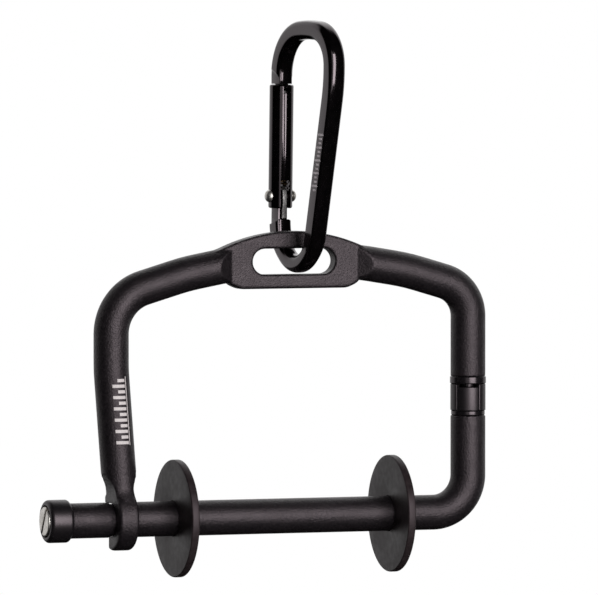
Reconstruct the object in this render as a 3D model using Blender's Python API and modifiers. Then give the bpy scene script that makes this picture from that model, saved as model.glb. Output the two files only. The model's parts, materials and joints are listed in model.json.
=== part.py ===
"""Line-spool holder on a mini carabiner, modelled in metres with +Z up.

The origin is the inside top of the carabiner's bow, where it hangs. The bent-rod frame hangs from
the carabiner's foot. Its lower arm swings out of a hook on a swivel, and carries two sliding discs.
"""

from math import asin, atan, cos, pi, radians, sin, sqrt, tan

import bmesh
import bpy
from mathutils import Matrix, Vector

MM = 0.001

# Frame: millimetres from the point where the swivel's axis meets the bar's axis
FRAME_REFERENCE = (36.13, 6.46, -95.15)
ROD_RADIUS = 3.5
ROD_SIDES = 28
LEG_SPACING = 75.9
LEG_END_INSET = 1.9
LEG_END_LEAN = 0.07
HOOK_X = -LEG_SPACING + LEG_END_INSET
LEG_BEND_Z = 29.7
LOWER_CORNER_RADIUS = 7.5
SHOULDER_Z = 50.9
BAR_END_X = -84.9

# Eyelet plate
PLATE_X = -37.75
PLATE_HALF_LENGTH = 13.25
PLATE_THICKNESS = 3.5
PLATE_TOP_Z = 56.85
PLATE_SHOULDER_Z = 53.8
PLATE_BOTTOM_Z = 45.4
PLATE_EDGE = 0.5
RAMP_LENGTH = 3.0
RAMP_UNDERCUT = 0.04
SLOT_LENGTH = 17.5
SLOT_BOTTOM_Z = 48.25
SLOT_TOP_Z = 53.4
SLOT_CHAMFER = 0.4

# Hook at the foot of the left leg
HOOK_OUTER_RADIUS = 6.1
HOOK_WIDTH = 4.1
HOOK_EDGE = 0.7
HOOK_LIP_Y = 1.3
HOOK_BACK_Y = 3.5
NECK_RADIUS = 3.2
NECK_LENGTH = 5.15
HOOK_BORE_RADIUS = NECK_RADIUS + 0.07
HOOK_TAPER_Z = 9.4
HOOK_SHANK_END_Z = 4.2

# Swivel in the right leg, heights along its axis
UPPER_END_Z = 27.25
COLLAR_TOP_Z = 27.2
COLLAR_BOTTOM_Z = 25.75
COLLAR_RADIUS = 3.62
SLEEVE_BOTTOM_Z = 20.36
SLEEVE_TOP_Z = 25.7
SLEEVE_RADIUS = 3.53
SLEEVE_BORE_RADIUS = 2.45
WINDOW_HALF_ANGLE = radians(41)
WINDOW_FACING = radians(-112)
KEY_BOTTOM_Z = 20.36
KEY_TOP_Z = 25.1
KEY_HALF_ANGLE = radians(39.5)
KEY_RADIUS = 3.48
KEY_INNER_RADIUS = 1.25
WASHER_BOTTOM_Z = 19.46
WASHER_TOP_Z = 20.3
WASHER_RADIUS = 3.4
ARM_TOP_Z = 19.4
SPINDLE_RADIUS = 1.5
SPINDLE_GROOVE_RADIUS = 1.1
SPINDLE_BOTTOM_Z = 9.6
SPINDLE_TOP_Z = 33.0
SPINDLE_BORE_RADIUS = 1.6
BALL_RADIUS = 1.2
SPRING_BORE_TOP_Z = 41.0

# Bar end
CAP_RADIUS = 4.27
CAP_LENGTH = 4.75
CAP_CHAMFER = 0.85
CAP_GAP = 0.1
SCREW_HEAD_RADIUS = 2.93
SCREW_HEAD_DEPTH = 1.5
SCREW_SHANK_RADIUS = 1.45
SCREW_SLOT_WIDTH = 0.8
SCREW_SLOT_DEPTH = 0.75
SCREW_SLOT_TURN = radians(30)
SCREW_BORE_RADIUS = 1.6
COUNTERBORE_RADIUS = 3.2
COUNTERBORE_DEPTH = 1.3

# Spool discs
DISC_RADIUS = 11.7
DISC_THICKNESS = 1.6
DISC_BORE_RADIUS = ROD_RADIUS + 0.06
DISC_EDGE = 0.3
LEFT_DISC_X = -62.2
RIGHT_DISC_X = -16.4

# Carabiner: millimetres from its hang point, Y towards the gate, Z up, X across its plane
CARABINER_YAW = radians(9.5)
BODY_SIZE = 3.5
BODY_EDGE = 0.65
BOW_SIZE = 3.8
BOW_EDGE = 1.2
BOW_SECTION_FROM_Z = -3.0
BOW_SECTION_TO_Z = -14.0
BOW_Z = BOW_SIZE / 2
BOW_GATE_DROP = 0.83
BOW_SPINE_DROP = 0.56
BOW_GATE_RADIUS = 9.36
BOW_TOP_RADIUS = 30.0
BOW_SPINE_RADIUS = 6.8
NOSE_Y = 11.55
NOSE_Z = -9.1
SPINE_LEAN = radians(13.65)
SPINE_BEND_Z = -8.65
SPINE_BEND_RADIUS = 28.0
FOOT_HALF_WIDTH = 7.2
FOOT_HALF_HEIGHT = 8.2
FOOT_Y = 5.0
FOOT_BOTTOM_Z = -44.85
FOOT_EDGE = 1.3
FOOT_EDGE_FROM_Z = -39.5
FOOT_EDGE_TO_Z = -43.0

# Gate and hinge: heights along the gate from its rivet
HINGE_Z = -31.5
GATE_RADIUS = 2.4
GATE_TOP = 22.25
GATE_BOTTOM = -2.4
GATE_EDGE = 0.35
GATE_SLOT_WIDTH = 2.3
GATE_SLOT_TOP = 3.2
NOSE_SLOT_WIDTH = 1.6
NOSE_SLOT_DEPTH = 1.7
NOSE_NECK_THICKNESS = 2.9
NOSE_NECK_INNER = 1.3
NOSE_NECK_OUTER = 2.9
NOSE_TONGUE_THICKNESS = 1.2
NOSE_TONGUE_REACH = 1.2
NOSE_SLOPE = 1.5
TANG_SLOPE = 0.35
TANG_THICKNESS = 2.0
TANG_INNER = -1.0
TANG_OUTER = 1.75
TANG_SHOULDER = -4.6
TANG_SHOULDER_OUTER = -5.6
RIVET_RADIUS = 0.75
RIVET_HEAD_RADIUS = 1.25
RIVET_HALF_LENGTH = 3.4
GATE_BORE_RADIUS = 1.6
GATE_BORE_TOP = 11.2
LINK_WIDTH = 1.0
LINK_THICKNESS = 0.45
LINK_TOP = 1.95
SPRING_WIRE = 0.2
RUNNING_GAP = 0.05


def clear_scene():
    for obj in list(bpy.data.objects):
        bpy.data.objects.remove(obj, do_unlink=True)


def new_collection(name):
    made = bpy.data.collections.new(name)
    bpy.context.scene.collection.children.link(made)
    return made


def material(name, colour, roughness, metallic):
    made = bpy.data.materials.new(name)
    made.use_nodes = True
    shader = made.node_tree.nodes["Principled BSDF"]
    shader.inputs["Base Color"].default_value = (*colour, 1.0)
    shader.inputs["Roughness"].default_value = roughness
    shader.inputs["Metallic"].default_value = metallic
    return made


def empty(name, location, parent=None, rotation=(0.0, 0.0, 0.0)):
    """A helper with no shape that carries the pieces around one reference point."""
    made = bpy.data.objects.new(name, None)
    made.location = Vector(location) * MM
    made.rotation_euler = rotation
    made.parent = parent
    PARTS.objects.link(made)
    return made


def place(name, data, parent, location=(0, 0, 0), rotation=(0, 0, 0), group=None):
    made = bpy.data.objects.new(name, data)
    made.location = Vector(location) * MM
    made.rotation_euler = rotation
    made.parent = parent
    (group or PARTS).objects.link(made)
    return made


def finish(obj, finish_material, sharp=radians(35)):
    """Smooth shading with sharp edges kept, and the piece's own material."""
    obj.data.materials.clear()
    obj.data.materials.append(finish_material)
    if obj.type == "MESH":
        obj.data.shade_smooth()
        obj.data.set_sharp_from_angle(angle=sharp)
    return obj


def to_mesh(obj):
    """Replaces a curve by the mesh that it draws, its caps welded on."""
    bpy.context.view_layer.update()
    graph = bpy.context.evaluated_depsgraph_get()
    mesh = bpy.data.meshes.new_from_object(obj.evaluated_get(graph))
    work = bmesh.new()
    work.from_mesh(mesh)
    bmesh.ops.remove_doubles(work, verts=work.verts, dist=0.000002)
    bmesh.ops.recalc_face_normals(work, faces=work.faces)
    work.to_mesh(mesh)
    work.free()
    name, parent, basis = obj.name, obj.parent, obj.matrix_basis.copy()
    group = obj.users_collection[0]
    bpy.data.objects.remove(obj, do_unlink=True)
    made = place(name, mesh, parent, group=group)
    made.matrix_basis = basis
    return made


def helper(obj):
    """Marks a piece as a cutter or a joined half, which isn't a node."""
    obj.hide_render = True
    obj.display_type = "WIRE"
    return obj


def boolean(obj, other, operation):
    modifier = obj.modifiers.new(other.name, "BOOLEAN")
    modifier.operation = operation
    modifier.object = helper(other)
    modifier.solver = "EXACT"
    return obj


def filleted(corners, radii, step=radians(9)):
    """Points of a flat path whose inner corners are rounded to the given radii."""
    points = [Vector(corners[0])]
    for before, corner, after, radius in zip(corners, corners[1:], corners[2:], radii):
        corner = Vector(corner)
        inward = (Vector(before) - corner).normalized()
        outward = (Vector(after) - corner).normalized()
        half = inward.angle(outward) / 2
        centre = corner + (inward + outward).normalized() * radius / sin(half)
        start = corner + inward * radius / tan(half) - centre
        turn = start.angle_signed(corner + outward * radius / tan(half) - centre)
        count = max(3, round(abs(turn) / step))
        for i in range(count + 1):
            angle = -turn * i / count
            points.append(centre + Matrix.Rotation(angle, 2) @ start)
    points.append(Vector(corners[-1]))
    return points


def tube(name, points, radius, sides, parent, group=None):
    """A round rod along points, with capped ends."""
    curve = bpy.data.curves.new(name, "CURVE")
    curve.dimensions = "3D"
    curve.bevel_depth = radius * MM
    curve.bevel_resolution = sides // 2 - 2
    curve.use_fill_caps = True
    spline = curve.splines.new("POLY")
    spline.points.add(len(points) - 1)
    for slot, point in zip(spline.points, points):
        slot.co = (*(Vector(point) * MM), 1.0)
    return to_mesh(place(name, curve, parent, group=group))


def slab(name, outline, thickness, edge, parent, location, rotation, group=None):
    """A flat outline given thickness, its edges rounded by the given radius."""
    curve = bpy.data.curves.new(name, "CURVE")
    curve.dimensions = "2D"
    curve.fill_mode = "BOTH"
    curve.extrude = (thickness / 2 - edge) * MM
    curve.bevel_depth = edge * MM
    curve.bevel_resolution = 2
    curve.offset = -edge * MM
    spline = curve.splines.new("POLY")
    spline.points.add(len(outline) - 1)
    spline.use_cyclic_u = True
    for slot, point in zip(spline.points, outline):
        slot.co = (point[0] * MM, point[1] * MM, 0.0, 1.0)
    made = place(name, curve, parent, location, rotation, group)
    return to_mesh(made)


def turned(
    name, profile, parent, location=(0, 0, 0), rotation=(0, 0, 0), closed=False, steps=32, group=None
):
    """A profile of (radius, height) points, outer side from top to bottom, turned about local Z."""
    mesh = bpy.data.meshes.new(name)
    count = len(profile)
    edges = [(i, i + 1) for i in range(count - 1)]
    if closed:
        edges.append((count - 1, 0))
    mesh.from_pydata([(r * MM, 0.0, z * MM) for r, z in profile], edges, [])
    made = place(name, mesh, parent, location, rotation, group)
    screw = made.modifiers.new("turn", "SCREW")
    screw.steps = steps
    screw.render_steps = steps
    screw.use_merge_vertices = True
    screw.merge_threshold = 0.000002
    screw.use_smooth_shade = True
    return made


def rounded(corner, radius, start, end, count=2):
    """Arc points about a corner's centre, for a turned profile's rounded edge."""
    points = []
    for i in range(count + 1):
        angle = start + (end - start) * i / count
        points.append((corner[0] + radius * cos(angle), corner[1] + radius * sin(angle)))
    return points


def ring_profile(inner, outer, bottom, top, edge):
    """A ring's section, outer side first from the top, its outer edges rounded."""
    return (
        [(inner, top)]
        + rounded((outer - edge, top - edge), edge, pi / 2, 0)
        + rounded((outer - edge, bottom + edge), edge, 0, -pi / 2)
        + [(inner, bottom)]
    )


def disc_profile(outer, bottom, top, edge):
    """A solid round piece's section, from the axis at the top round to the axis at the bottom."""
    return ring_profile(0.0, outer, bottom, top, edge)


def lofted(name, rings, parent, location=(0, 0, 0), group=None):
    """A closed body through rings of equal point count, with flat ends."""
    work = bmesh.new()
    loops = [[work.verts.new(Vector(p) * MM) for p in ring] for ring in rings]
    for lower, upper in zip(loops, loops[1:]):
        for i, vert in enumerate(lower):
            after = (i + 1) % len(lower)
            work.faces.new((vert, lower[after], upper[after], upper[i]))
    work.faces.new(list(reversed(loops[0])))
    work.faces.new(loops[-1])
    bmesh.ops.recalc_face_normals(work, faces=work.faces)
    mesh = bpy.data.meshes.new(name)
    work.to_mesh(mesh)
    work.free()
    return place(name, mesh, parent, location, group=group)


def block(name, size, centre, parent, rotation=(0, 0, 0), group=None):
    mesh = bpy.data.meshes.new(name)
    work = bmesh.new()
    bmesh.ops.create_cube(work, size=1.0)
    bmesh.ops.scale(work, vec=Vector(size) * MM, verts=work.verts)
    work.to_mesh(mesh)
    work.free()
    return place(name, mesh, parent, centre, rotation, group)


def stadium(length, height, centre, grow=0.0, arc=10):
    """A slot outline with round ends, in the plane's own two axes."""
    radius = height / 2
    reach = length / 2 - radius
    points = []
    for side, first in ((1, -pi / 2), (-1, pi / 2)):
        for i in range(arc + 1):
            angle = first + pi * i / arc
            x = centre[0] + side * reach + (radius + grow) * cos(angle)
            z = centre[1] + (radius + grow) * sin(angle)
            points.append((x, z))
    return points


# ---------------------------------------------------------------- upper frame


def upper_path():
    """The rod's centre line in the frame's plane, from the swivel over the top to the left leg."""
    left = -LEG_SPACING
    corners = [
        (0.0, UPPER_END_Z),
        (0.0, 44.77),
        (-13.4, 48.74),
        (-26.3, SHOULDER_Z),
        (-47.6, SHOULDER_Z),
        (-60.2, 48.57),
        (left, 43.95),
        (left, LEG_BEND_Z),
        (HOOK_X - (HOOK_TAPER_Z - HOOK_SHANK_END_Z) * LEG_END_LEAN, HOOK_TAPER_Z),
    ]
    radii = [7.3, 45.0, 60.0, 60.0, 45.0, 9.5, 40.0]
    return [(x, 0.0, z) for x, z in filleted(corners, radii)]


def plate_outline():
    """The eyelet plate seen from the front: arched top, straight foot, round lower corners."""
    rise = PLATE_TOP_Z - PLATE_SHOULDER_Z
    reach = PLATE_HALF_LENGTH + 1.3
    arch_radius = (reach ** 2 + rise ** 2) / (2 * rise)
    opening = asin(reach / arch_radius)
    centre_z = PLATE_TOP_Z - arch_radius
    points = []
    for i in range(17):
        angle = opening - 2 * opening * i / 16
        points.append((PLATE_X + arch_radius * sin(angle), centre_z + arch_radius * cos(angle)))
    end = PLATE_X - reach
    other = PLATE_X + reach
    foot = PLATE_BOTTOM_Z
    left_corner = [(end, 49.0), (end, 46.8), (end + 3.2, foot)]
    right_corner = [(other - 3.2, foot), (other, 46.8), (other, 49.0)]
    points += [tuple(p) for p in filleted(left_corner + right_corner, [3.0, 4.0, 4.0, 3.0])]
    return points


def ramp_cutter(name, side):
    """Takes the rod down to the plate's face between two ramps."""
    face = side * (PLATE_THICKNESS / 2 - RAMP_UNDERCUT)
    outside = side * (ROD_RADIUS + 1.2)
    slope = RAMP_LENGTH * (abs(outside) - abs(face)) / (ROD_RADIUS - abs(face))
    start = PLATE_X - PLATE_HALF_LENGTH
    end = PLATE_X + PLATE_HALF_LENGTH
    outline = [(start, face), (end, face), (end + slope, outside), (start - slope, outside)]
    rings = [[(x, y, z) for x, y in outline] for z in (42.0, 60.0)]
    return lofted(name, rings, FRAME, group=CUTTERS)


def slot_cutter():
    height = SLOT_TOP_Z - SLOT_BOTTOM_Z
    centre = (PLATE_X, (SLOT_TOP_Z + SLOT_BOTTOM_Z) / 2)
    half = PLATE_THICKNESS / 2
    stations = (
        (-half - 1.0, SLOT_CHAMFER + 1.0),
        (-half + SLOT_CHAMFER, 0.0),
        (half - SLOT_CHAMFER, 0.0),
        (half + 1.0, SLOT_CHAMFER + 1.0),
    )
    rings = []
    for y, grow in stations:
        rings.append([(x, y, z) for x, z in stadium(SLOT_LENGTH, height, centre, grow)])
    return lofted("slot_cutter", rings, FRAME, group=CUTTERS)


def flattened_round(radius, half, count=28):
    """A rod's round section with both sides milled flat at the given half width."""
    points = []
    for i in range(count):
        angle = 2 * pi * (i + 0.5) / count
        points.append((min(max(radius * cos(angle), -half), half), radius * sin(angle)))
    return points


def hook_shank():
    """The left leg's foot, milled flat on both sides, from the round rod down into the hook."""
    stations = (
        (HOOK_TAPER_Z + 0.9, 3.35, 3.3),
        (HOOK_TAPER_Z, 3.48, 3.44),
        (8.6, 3.49, 3.1),
        (7.8, 3.49, 2.6),
        (7.0, 3.49, 2.2),
        (6.2, 3.49, 2.0),
        (5.4, 3.49, 1.96),
        (HOOK_SHANK_END_Z, 3.7, 2.0),
    )
    rings = []
    for z, radius, half in stations:
        x = HOOK_X - (z - HOOK_SHANK_END_Z) * LEG_END_LEAN
        rings.append([(x + a, b, z) for a, b in flattened_round(radius, half)])
    return lofted("hook_shank", rings, FRAME, group=CUTTERS)


def hook_mouth_cutter():
    """The hook's inside: a half round seat for the bar, open to the rear."""
    far = 2 * HOOK_OUTER_RADIUS
    rings = []
    for x in (HOOK_X - HOOK_WIDTH, HOOK_X + HOOK_WIDTH):
        ring = [(x, far, HOOK_BORE_RADIUS), (x, far, -HOOK_BORE_RADIUS)]
        for i in range(15):
            angle = pi * i / 14
            ring.append((x, -HOOK_BORE_RADIUS * sin(angle), -HOOK_BORE_RADIUS * cos(angle)))
        rings.append(ring)
    return lofted("hook_mouth_cutter", rings, FRAME, group=CUTTERS)


def build_upper_frame():
    frame = tube("upper_frame", upper_path(), ROD_RADIUS, ROD_SIDES, FRAME)
    for name, side in (("front_ramp_cutter", -1), ("back_ramp_cutter", 1)):
        boolean(frame, ramp_cutter(name, side), "DIFFERENCE")
    upright = (pi / 2, 0, 0)
    plate = slab(
        "eyelet_plate",
        plate_outline(),
        PLATE_THICKNESS,
        PLATE_EDGE,
        FRAME,
        (0, 0, 0),
        upright,
        CUTTERS,
    )
    boolean(frame, plate, "UNION")
    boolean(frame, slot_cutter(), "DIFFERENCE")
    half = HOOK_WIDTH / 2
    ring = turned(
        "hook_ring",
        ring_profile(1.0, HOOK_OUTER_RADIUS, -half, half, HOOK_EDGE),
        FRAME,
        (HOOK_X, 0, 0),
        (0, pi / 2, 0),
        closed=True,
        group=CUTTERS,
    )
    reach = HOOK_OUTER_RADIUS
    size = (2 * HOOK_WIDTH, 2 * reach, 2 * reach)
    lip = block("hook_lip_cutter", size, (HOOK_X, HOOK_LIP_Y + reach, -reach), FRAME, group=CUTTERS)
    boolean(ring, lip, "DIFFERENCE")
    back = block("hook_back_cutter", size, (HOOK_X, HOOK_BACK_Y + reach, reach), FRAME, group=CUTTERS)
    boolean(ring, back, "DIFFERENCE")
    boolean(frame, hook_shank(), "UNION")
    boolean(frame, ring, "UNION")
    boolean(frame, hook_mouth_cutter(), "DIFFERENCE")
    well = turned(
        "swivel_bore_cutter",
        disc_profile(SPINDLE_BORE_RADIUS, UPPER_END_Z - 2, SPRING_BORE_TOP_Z, 0.1),
        FRAME,
        steps=24,
        group=CUTTERS,
    )
    boolean(frame, well, "DIFFERENCE")
    return finish(frame, BLASTED_BLACK)


# ---------------------------------------------------------------- swivel


def sector_ring(name, inner, outer, bottom, top, centre_angle, half_angle, edge):
    """Part of a ring about the swivel's axis, as a turned section swept through an angle."""
    count = max(6, round(half_angle * 2 / radians(7)))
    section = ring_profile(inner, outer, bottom, top, edge)
    rings = []
    for i in range(count + 1):
        angle = centre_angle - half_angle + 2 * half_angle * i / count
        rings.append([(r * cos(angle), r * sin(angle), z) for r, z in section])
    return lofted(name, rings, FRAME)


def build_swivel():
    collar = turned(
        "swivel_collar",
        ring_profile(SPINDLE_RADIUS + 0.15, COLLAR_RADIUS, COLLAR_BOTTOM_Z, COLLAR_TOP_Z, 0.15),
        FRAME,
        closed=True,
    )
    finish(collar, POLISHED_BLACK)
    sleeve = sector_ring(
        "swivel_sleeve",
        SLEEVE_BORE_RADIUS,
        SLEEVE_RADIUS,
        SLEEVE_BOTTOM_Z,
        SLEEVE_TOP_Z,
        WINDOW_FACING + pi,
        pi - WINDOW_HALF_ANGLE,
        0.12,
    )
    finish(sleeve, SATIN_BLACK)
    key = sector_ring(
        "swivel_key",
        KEY_INNER_RADIUS,
        KEY_RADIUS,
        KEY_BOTTOM_Z,
        KEY_TOP_Z,
        WINDOW_FACING,
        KEY_HALF_ANGLE,
        0.12,
    )
    finish(key, SATIN_BLACK)
    washer = turned(
        "thrust_washer",
        ring_profile(SPINDLE_RADIUS + 0.15, WASHER_RADIUS, WASHER_BOTTOM_Z, WASHER_TOP_Z, 0.1),
        FRAME,
        closed=True,
    )
    finish(washer, POLISHED_BLACK)
    groove_bottom = KEY_BOTTOM_Z - 0.1
    groove_top = KEY_TOP_Z + 0.1
    profile = [
        (0.0, SPINDLE_TOP_Z - 0.55),
        (0.9, SPINDLE_TOP_Z),
        (SPINDLE_RADIUS, SPINDLE_TOP_Z),
        (SPINDLE_RADIUS, groove_top),
        (SPINDLE_GROOVE_RADIUS, groove_top),
        (SPINDLE_GROOVE_RADIUS, groove_bottom),
        (SPINDLE_RADIUS, groove_bottom),
        (SPINDLE_RADIUS, SPINDLE_BOTTOM_Z + 0.3),
        (SPINDLE_RADIUS - 0.3, SPINDLE_BOTTOM_Z),
        (0.0, SPINDLE_BOTTOM_Z),
    ]
    spindle = turned("swivel_spindle", profile, ARM, steps=20)
    finish(spindle, SATIN_BLACK)
    seat = SPINDLE_TOP_Z + 0.95
    ball_profile = [(BALL_RADIUS * sin(pi * i / 8), seat + BALL_RADIUS * cos(pi * i / 8)) for i in range(9)]
    ball_profile[0] = (0.0, seat + BALL_RADIUS)
    ball_profile[-1] = (0.0, seat - BALL_RADIUS)
    ball = turned("drag_ball", ball_profile, FRAME, steps=16)
    finish(ball, STEEL)
    spring_bottom = seat + BALL_RADIUS + 0.3
    spring_top = SPRING_BORE_TOP_Z - 0.35
    spring = coil("drag_spring", 1.1, SPRING_WIRE, spring_bottom, spring_top, 6, FRAME)
    finish(spring, STEEL)


def coil(name, radius, wire, bottom, top, turns, parent, points_per_turn=9):
    """A compression spring about local Z."""
    count = turns * points_per_turn
    points = []
    for i in range(count + 1):
        angle = 2 * pi * i / points_per_turn
        height = bottom + wire + (top - bottom - 2 * wire) * i / count
        points.append((radius * cos(angle), radius * sin(angle), height))
    return tube(name, points, wire, 6, parent)


# ---------------------------------------------------------------- lower arm, cap and discs


def build_lower_arm():
    corners = [(0.0, ARM_TOP_Z), (0.0, 0.0), (BAR_END_X, 0.0)]
    points = [(x, 0.0, z) for x, z in filleted(corners, [LOWER_CORNER_RADIUS])]
    arm = tube("lower_arm", points, ROD_RADIUS, ROD_SIDES, ARM)
    half = NECK_LENGTH / 2
    neck = turned(
        "neck_cutter",
        [(NECK_RADIUS, half), (ROD_RADIUS + 1, half), (ROD_RADIUS + 1, -half), (NECK_RADIUS, -half)],
        ARM,
        (HOOK_X, 0, 0),
        (0, pi / 2, 0),
        closed=True,
        group=CUTTERS,
    )
    boolean(arm, neck, "DIFFERENCE")
    spindle_bore = turned(
        "spindle_bore_cutter",
        disc_profile(SPINDLE_BORE_RADIUS, SPINDLE_BOTTOM_Z - 0.3, ARM_TOP_Z + 1, 0.1),
        ARM,
        steps=24,
        group=CUTTERS,
    )
    boolean(arm, spindle_bore, "DIFFERENCE")
    screw_bore = turned(
        "screw_bore_cutter",
        disc_profile(SCREW_BORE_RADIUS, -1.0, 10.0, 0.1),
        ARM,
        (BAR_END_X, 0, 0),
        (0, pi / 2, 0),
        steps=24,
        group=CUTTERS,
    )
    boolean(arm, screw_bore, "DIFFERENCE")
    return finish(arm, BLASTED_BLACK)


def build_end_cap():
    """Turned cap on the bar's end, its face to -X, with the slotted screw in its counterbore."""
    outer_face = CAP_LENGTH
    floor = outer_face - COUNTERBORE_DEPTH
    profile = [
        (SCREW_BORE_RADIUS, floor),
        (COUNTERBORE_RADIUS, floor),
        (COUNTERBORE_RADIUS, outer_face),
        (CAP_RADIUS - CAP_CHAMFER, outer_face),
        (CAP_RADIUS - 0.25, outer_face - 0.35),
        (CAP_RADIUS, outer_face - CAP_CHAMFER),
        (CAP_RADIUS, CAP_CHAMFER),
        (CAP_RADIUS - 0.25, 0.35),
        (CAP_RADIUS - CAP_CHAMFER, 0.0),
        (SCREW_BORE_RADIUS, 0.0),
    ]
    cap = turned("end_cap", profile, ARM, (BAR_END_X - CAP_GAP, 0, 0), (0, -pi / 2, 0), closed=True)
    finish(cap, SATIN_BLACK)
    seat = floor + CAP_GAP
    head_top = seat + SCREW_HEAD_DEPTH
    profile = (
        [(0.0, head_top)]
        + rounded((SCREW_HEAD_RADIUS - 0.35, head_top - 0.35), 0.35, pi / 2, 0)
        + [(SCREW_HEAD_RADIUS, seat), (SCREW_SHANK_RADIUS, seat), (SCREW_SHANK_RADIUS, -8.0), (0.0, -8.0)]
    )
    screw = turned("end_screw", profile, ARM, (BAR_END_X - CAP_GAP, 0, 0), (0, -pi / 2, 0), steps=36)
    slot_height = head_top - SCREW_SLOT_DEPTH / 2 + 0.25
    driver_slot = block(
        "driver_slot_cutter",
        (SCREW_SLOT_DEPTH + 0.5, SCREW_SLOT_WIDTH, 3 * SCREW_HEAD_RADIUS),
        (BAR_END_X - CAP_GAP - slot_height, 0, 0),
        ARM,
        (SCREW_SLOT_TURN, 0, 0),
        CUTTERS,
    )
    boolean(screw, driver_slot, "DIFFERENCE")
    finish(screw, NICKEL)


def build_discs():
    half = DISC_THICKNESS / 2
    for name, x in (("spool_disc_left", LEFT_DISC_X), ("spool_disc_right", RIGHT_DISC_X)):
        disc = turned(
            name,
            ring_profile(DISC_BORE_RADIUS, DISC_RADIUS, -half, half, DISC_EDGE),
            ARM,
            (x, 0, 0),
            (0, pi / 2, 0),
            closed=True,
            steps=48,
        )
        finish(disc, RUBBER)


# ---------------------------------------------------------------- carabiner


def foot_centre_z():
    return FOOT_BOTTOM_Z + FOOT_HALF_HEIGHT


def gate_lean():
    """The gate's small lean from the foot's side to the bow's side."""
    return atan((FOOT_Y + FOOT_HALF_WIDTH - NOSE_Y) / (NOSE_Z - foot_centre_z()))


def gate_line_y(z):
    """Where the gate's axis is at a height."""
    return FOOT_Y + FOOT_HALF_WIDTH - tan(gate_lean()) * (z - foot_centre_z())


def spine_y(z):
    """Where the straight spine, which meets the foot's curve without a corner, is at a height."""
    reach = sqrt((FOOT_HALF_WIDTH * cos(SPINE_LEAN)) ** 2 + (FOOT_HALF_HEIGHT * sin(SPINE_LEAN)) ** 2)
    return FOOT_Y - (reach + (z - foot_centre_z()) * sin(SPINE_LEAN)) / cos(SPINE_LEAN)


def foot_point(angle):
    return (FOOT_Y + FOOT_HALF_WIDTH * cos(angle), foot_centre_z() + FOOT_HALF_HEIGHT * sin(angle))


def body_path():
    """The body's centre line from the nose over the bow, down the spine, round the foot to the tang."""
    spine_top = BOW_Z - BOW_SPINE_DROP
    start = pi + atan(tan(SPINE_LEAN) * FOOT_HALF_HEIGHT / FOOT_HALF_WIDTH)
    corners = [
        (NOSE_Y, NOSE_Z),
        (NOSE_Y, BOW_Z - BOW_GATE_DROP),
        (0.0, BOW_Z),
        (spine_y(SPINE_BEND_Z), spine_top),
        (spine_y(SPINE_BEND_Z), SPINE_BEND_Z),
        foot_point(start),
    ]
    radii = [BOW_GATE_RADIUS, BOW_TOP_RADIUS, BOW_SPINE_RADIUS, SPINE_BEND_RADIUS]
    points = [tuple(p) for p in filleted(corners, radii, radians(7))]
    points += [foot_point(start + (2 * pi - start) * i / 24) for i in range(1, 25)]
    shoulder_z = HINGE_Z + TANG_SHOULDER
    points.append((gate_line_y(shoulder_z), shoulder_z))
    return points


def blend(z, start, end, before, after):
    """A size that changes evenly from one height to another, and is steady outside them."""
    share = min(max((start - z) / (start - end), 0.0), 1.0)
    return before + (after - before) * share


def body_section(z, count=4):
    """A square section with round corners, rounder in the bow and where the frame turns at the foot."""
    size = blend(z, BOW_SECTION_FROM_Z, BOW_SECTION_TO_Z, BOW_SIZE, BODY_SIZE)
    edge = blend(z, BOW_SECTION_FROM_Z, BOW_SECTION_TO_Z, BOW_EDGE, BODY_EDGE)
    if z < FOOT_EDGE_FROM_Z:
        edge = blend(z, FOOT_EDGE_FROM_Z, FOOT_EDGE_TO_Z, BODY_EDGE, FOOT_EDGE)
    half = size / 2 - edge
    points = []
    for side_x, side_y, first in ((1, 1, 0), (-1, 1, 90), (-1, -1, 180), (1, -1, 270)):
        for i in range(count):
            angle = radians(first + 90 * i / (count - 1))
            points.append((side_x * half + edge * cos(angle), side_y * half + edge * sin(angle)))
    return points


def swept_body(name):
    """The section carried along the body's centre line."""
    path = [Vector(p) for p in body_path()]
    rings = []
    for i, here in enumerate(path):
        before = path[max(i - 1, 0)]
        after = path[min(i + 1, len(path) - 1)]
        along = (after - before).normalized()
        across = Vector((along.y, -along.x))
        section = body_section(here.y)
        rings.append([(a, here.x + across.x * b, here.y + across.y * b) for a, b in section])
    return lofted(name, rings, CARABINER)


def shoulder_cutter(name, side, half, slope, inner, outer, far):
    """Mills one side of the body down to a flat. Its shoulder slopes in both directions."""
    reach = 2 * BODY_SIZE
    rings = []
    for across, rise in ((half, 0.0), (BODY_SIZE, (BODY_SIZE - half) * slope)):
        lift = rise if far < inner else -rise
        outline = [(reach, far), (-reach, far), (-reach, inner - (outer - inner) * 1.5 + lift)]
        outline += [(-BODY_SIZE / 2, inner + lift), (BODY_SIZE / 2, outer + lift), (reach, outer + lift)]
        rings.append([(side * across, y, z) for y, z in outline])
    return lofted(name, rings, HINGE, group=CUTTERS)


def gate_outline(points, name, thickness, edge, parent, group=None):
    """A flat shape in the gate's plane: outline in (towards the gate's outer side, up)."""
    return slab(name, points, thickness, edge, parent, (0, 0, 0), (pi / 2, 0, pi / 2), group)


def tang_outline():
    """The hinge tang: its foot is in the body, its top is round about the rivet."""
    middle = (TANG_INNER + TANG_OUTER) / 2
    radius = (TANG_OUTER - TANG_INNER) / 2
    points = [(TANG_OUTER - 0.02, TANG_SHOULDER_OUTER - 1.0)]
    for i in range(11):
        angle = pi * i / 10
        points.append((middle + (radius - 0.02) * cos(angle), radius * sin(angle) - 0.1))
    points.append((TANG_INNER, TANG_SHOULDER_OUTER - 1.0))
    return points


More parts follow.
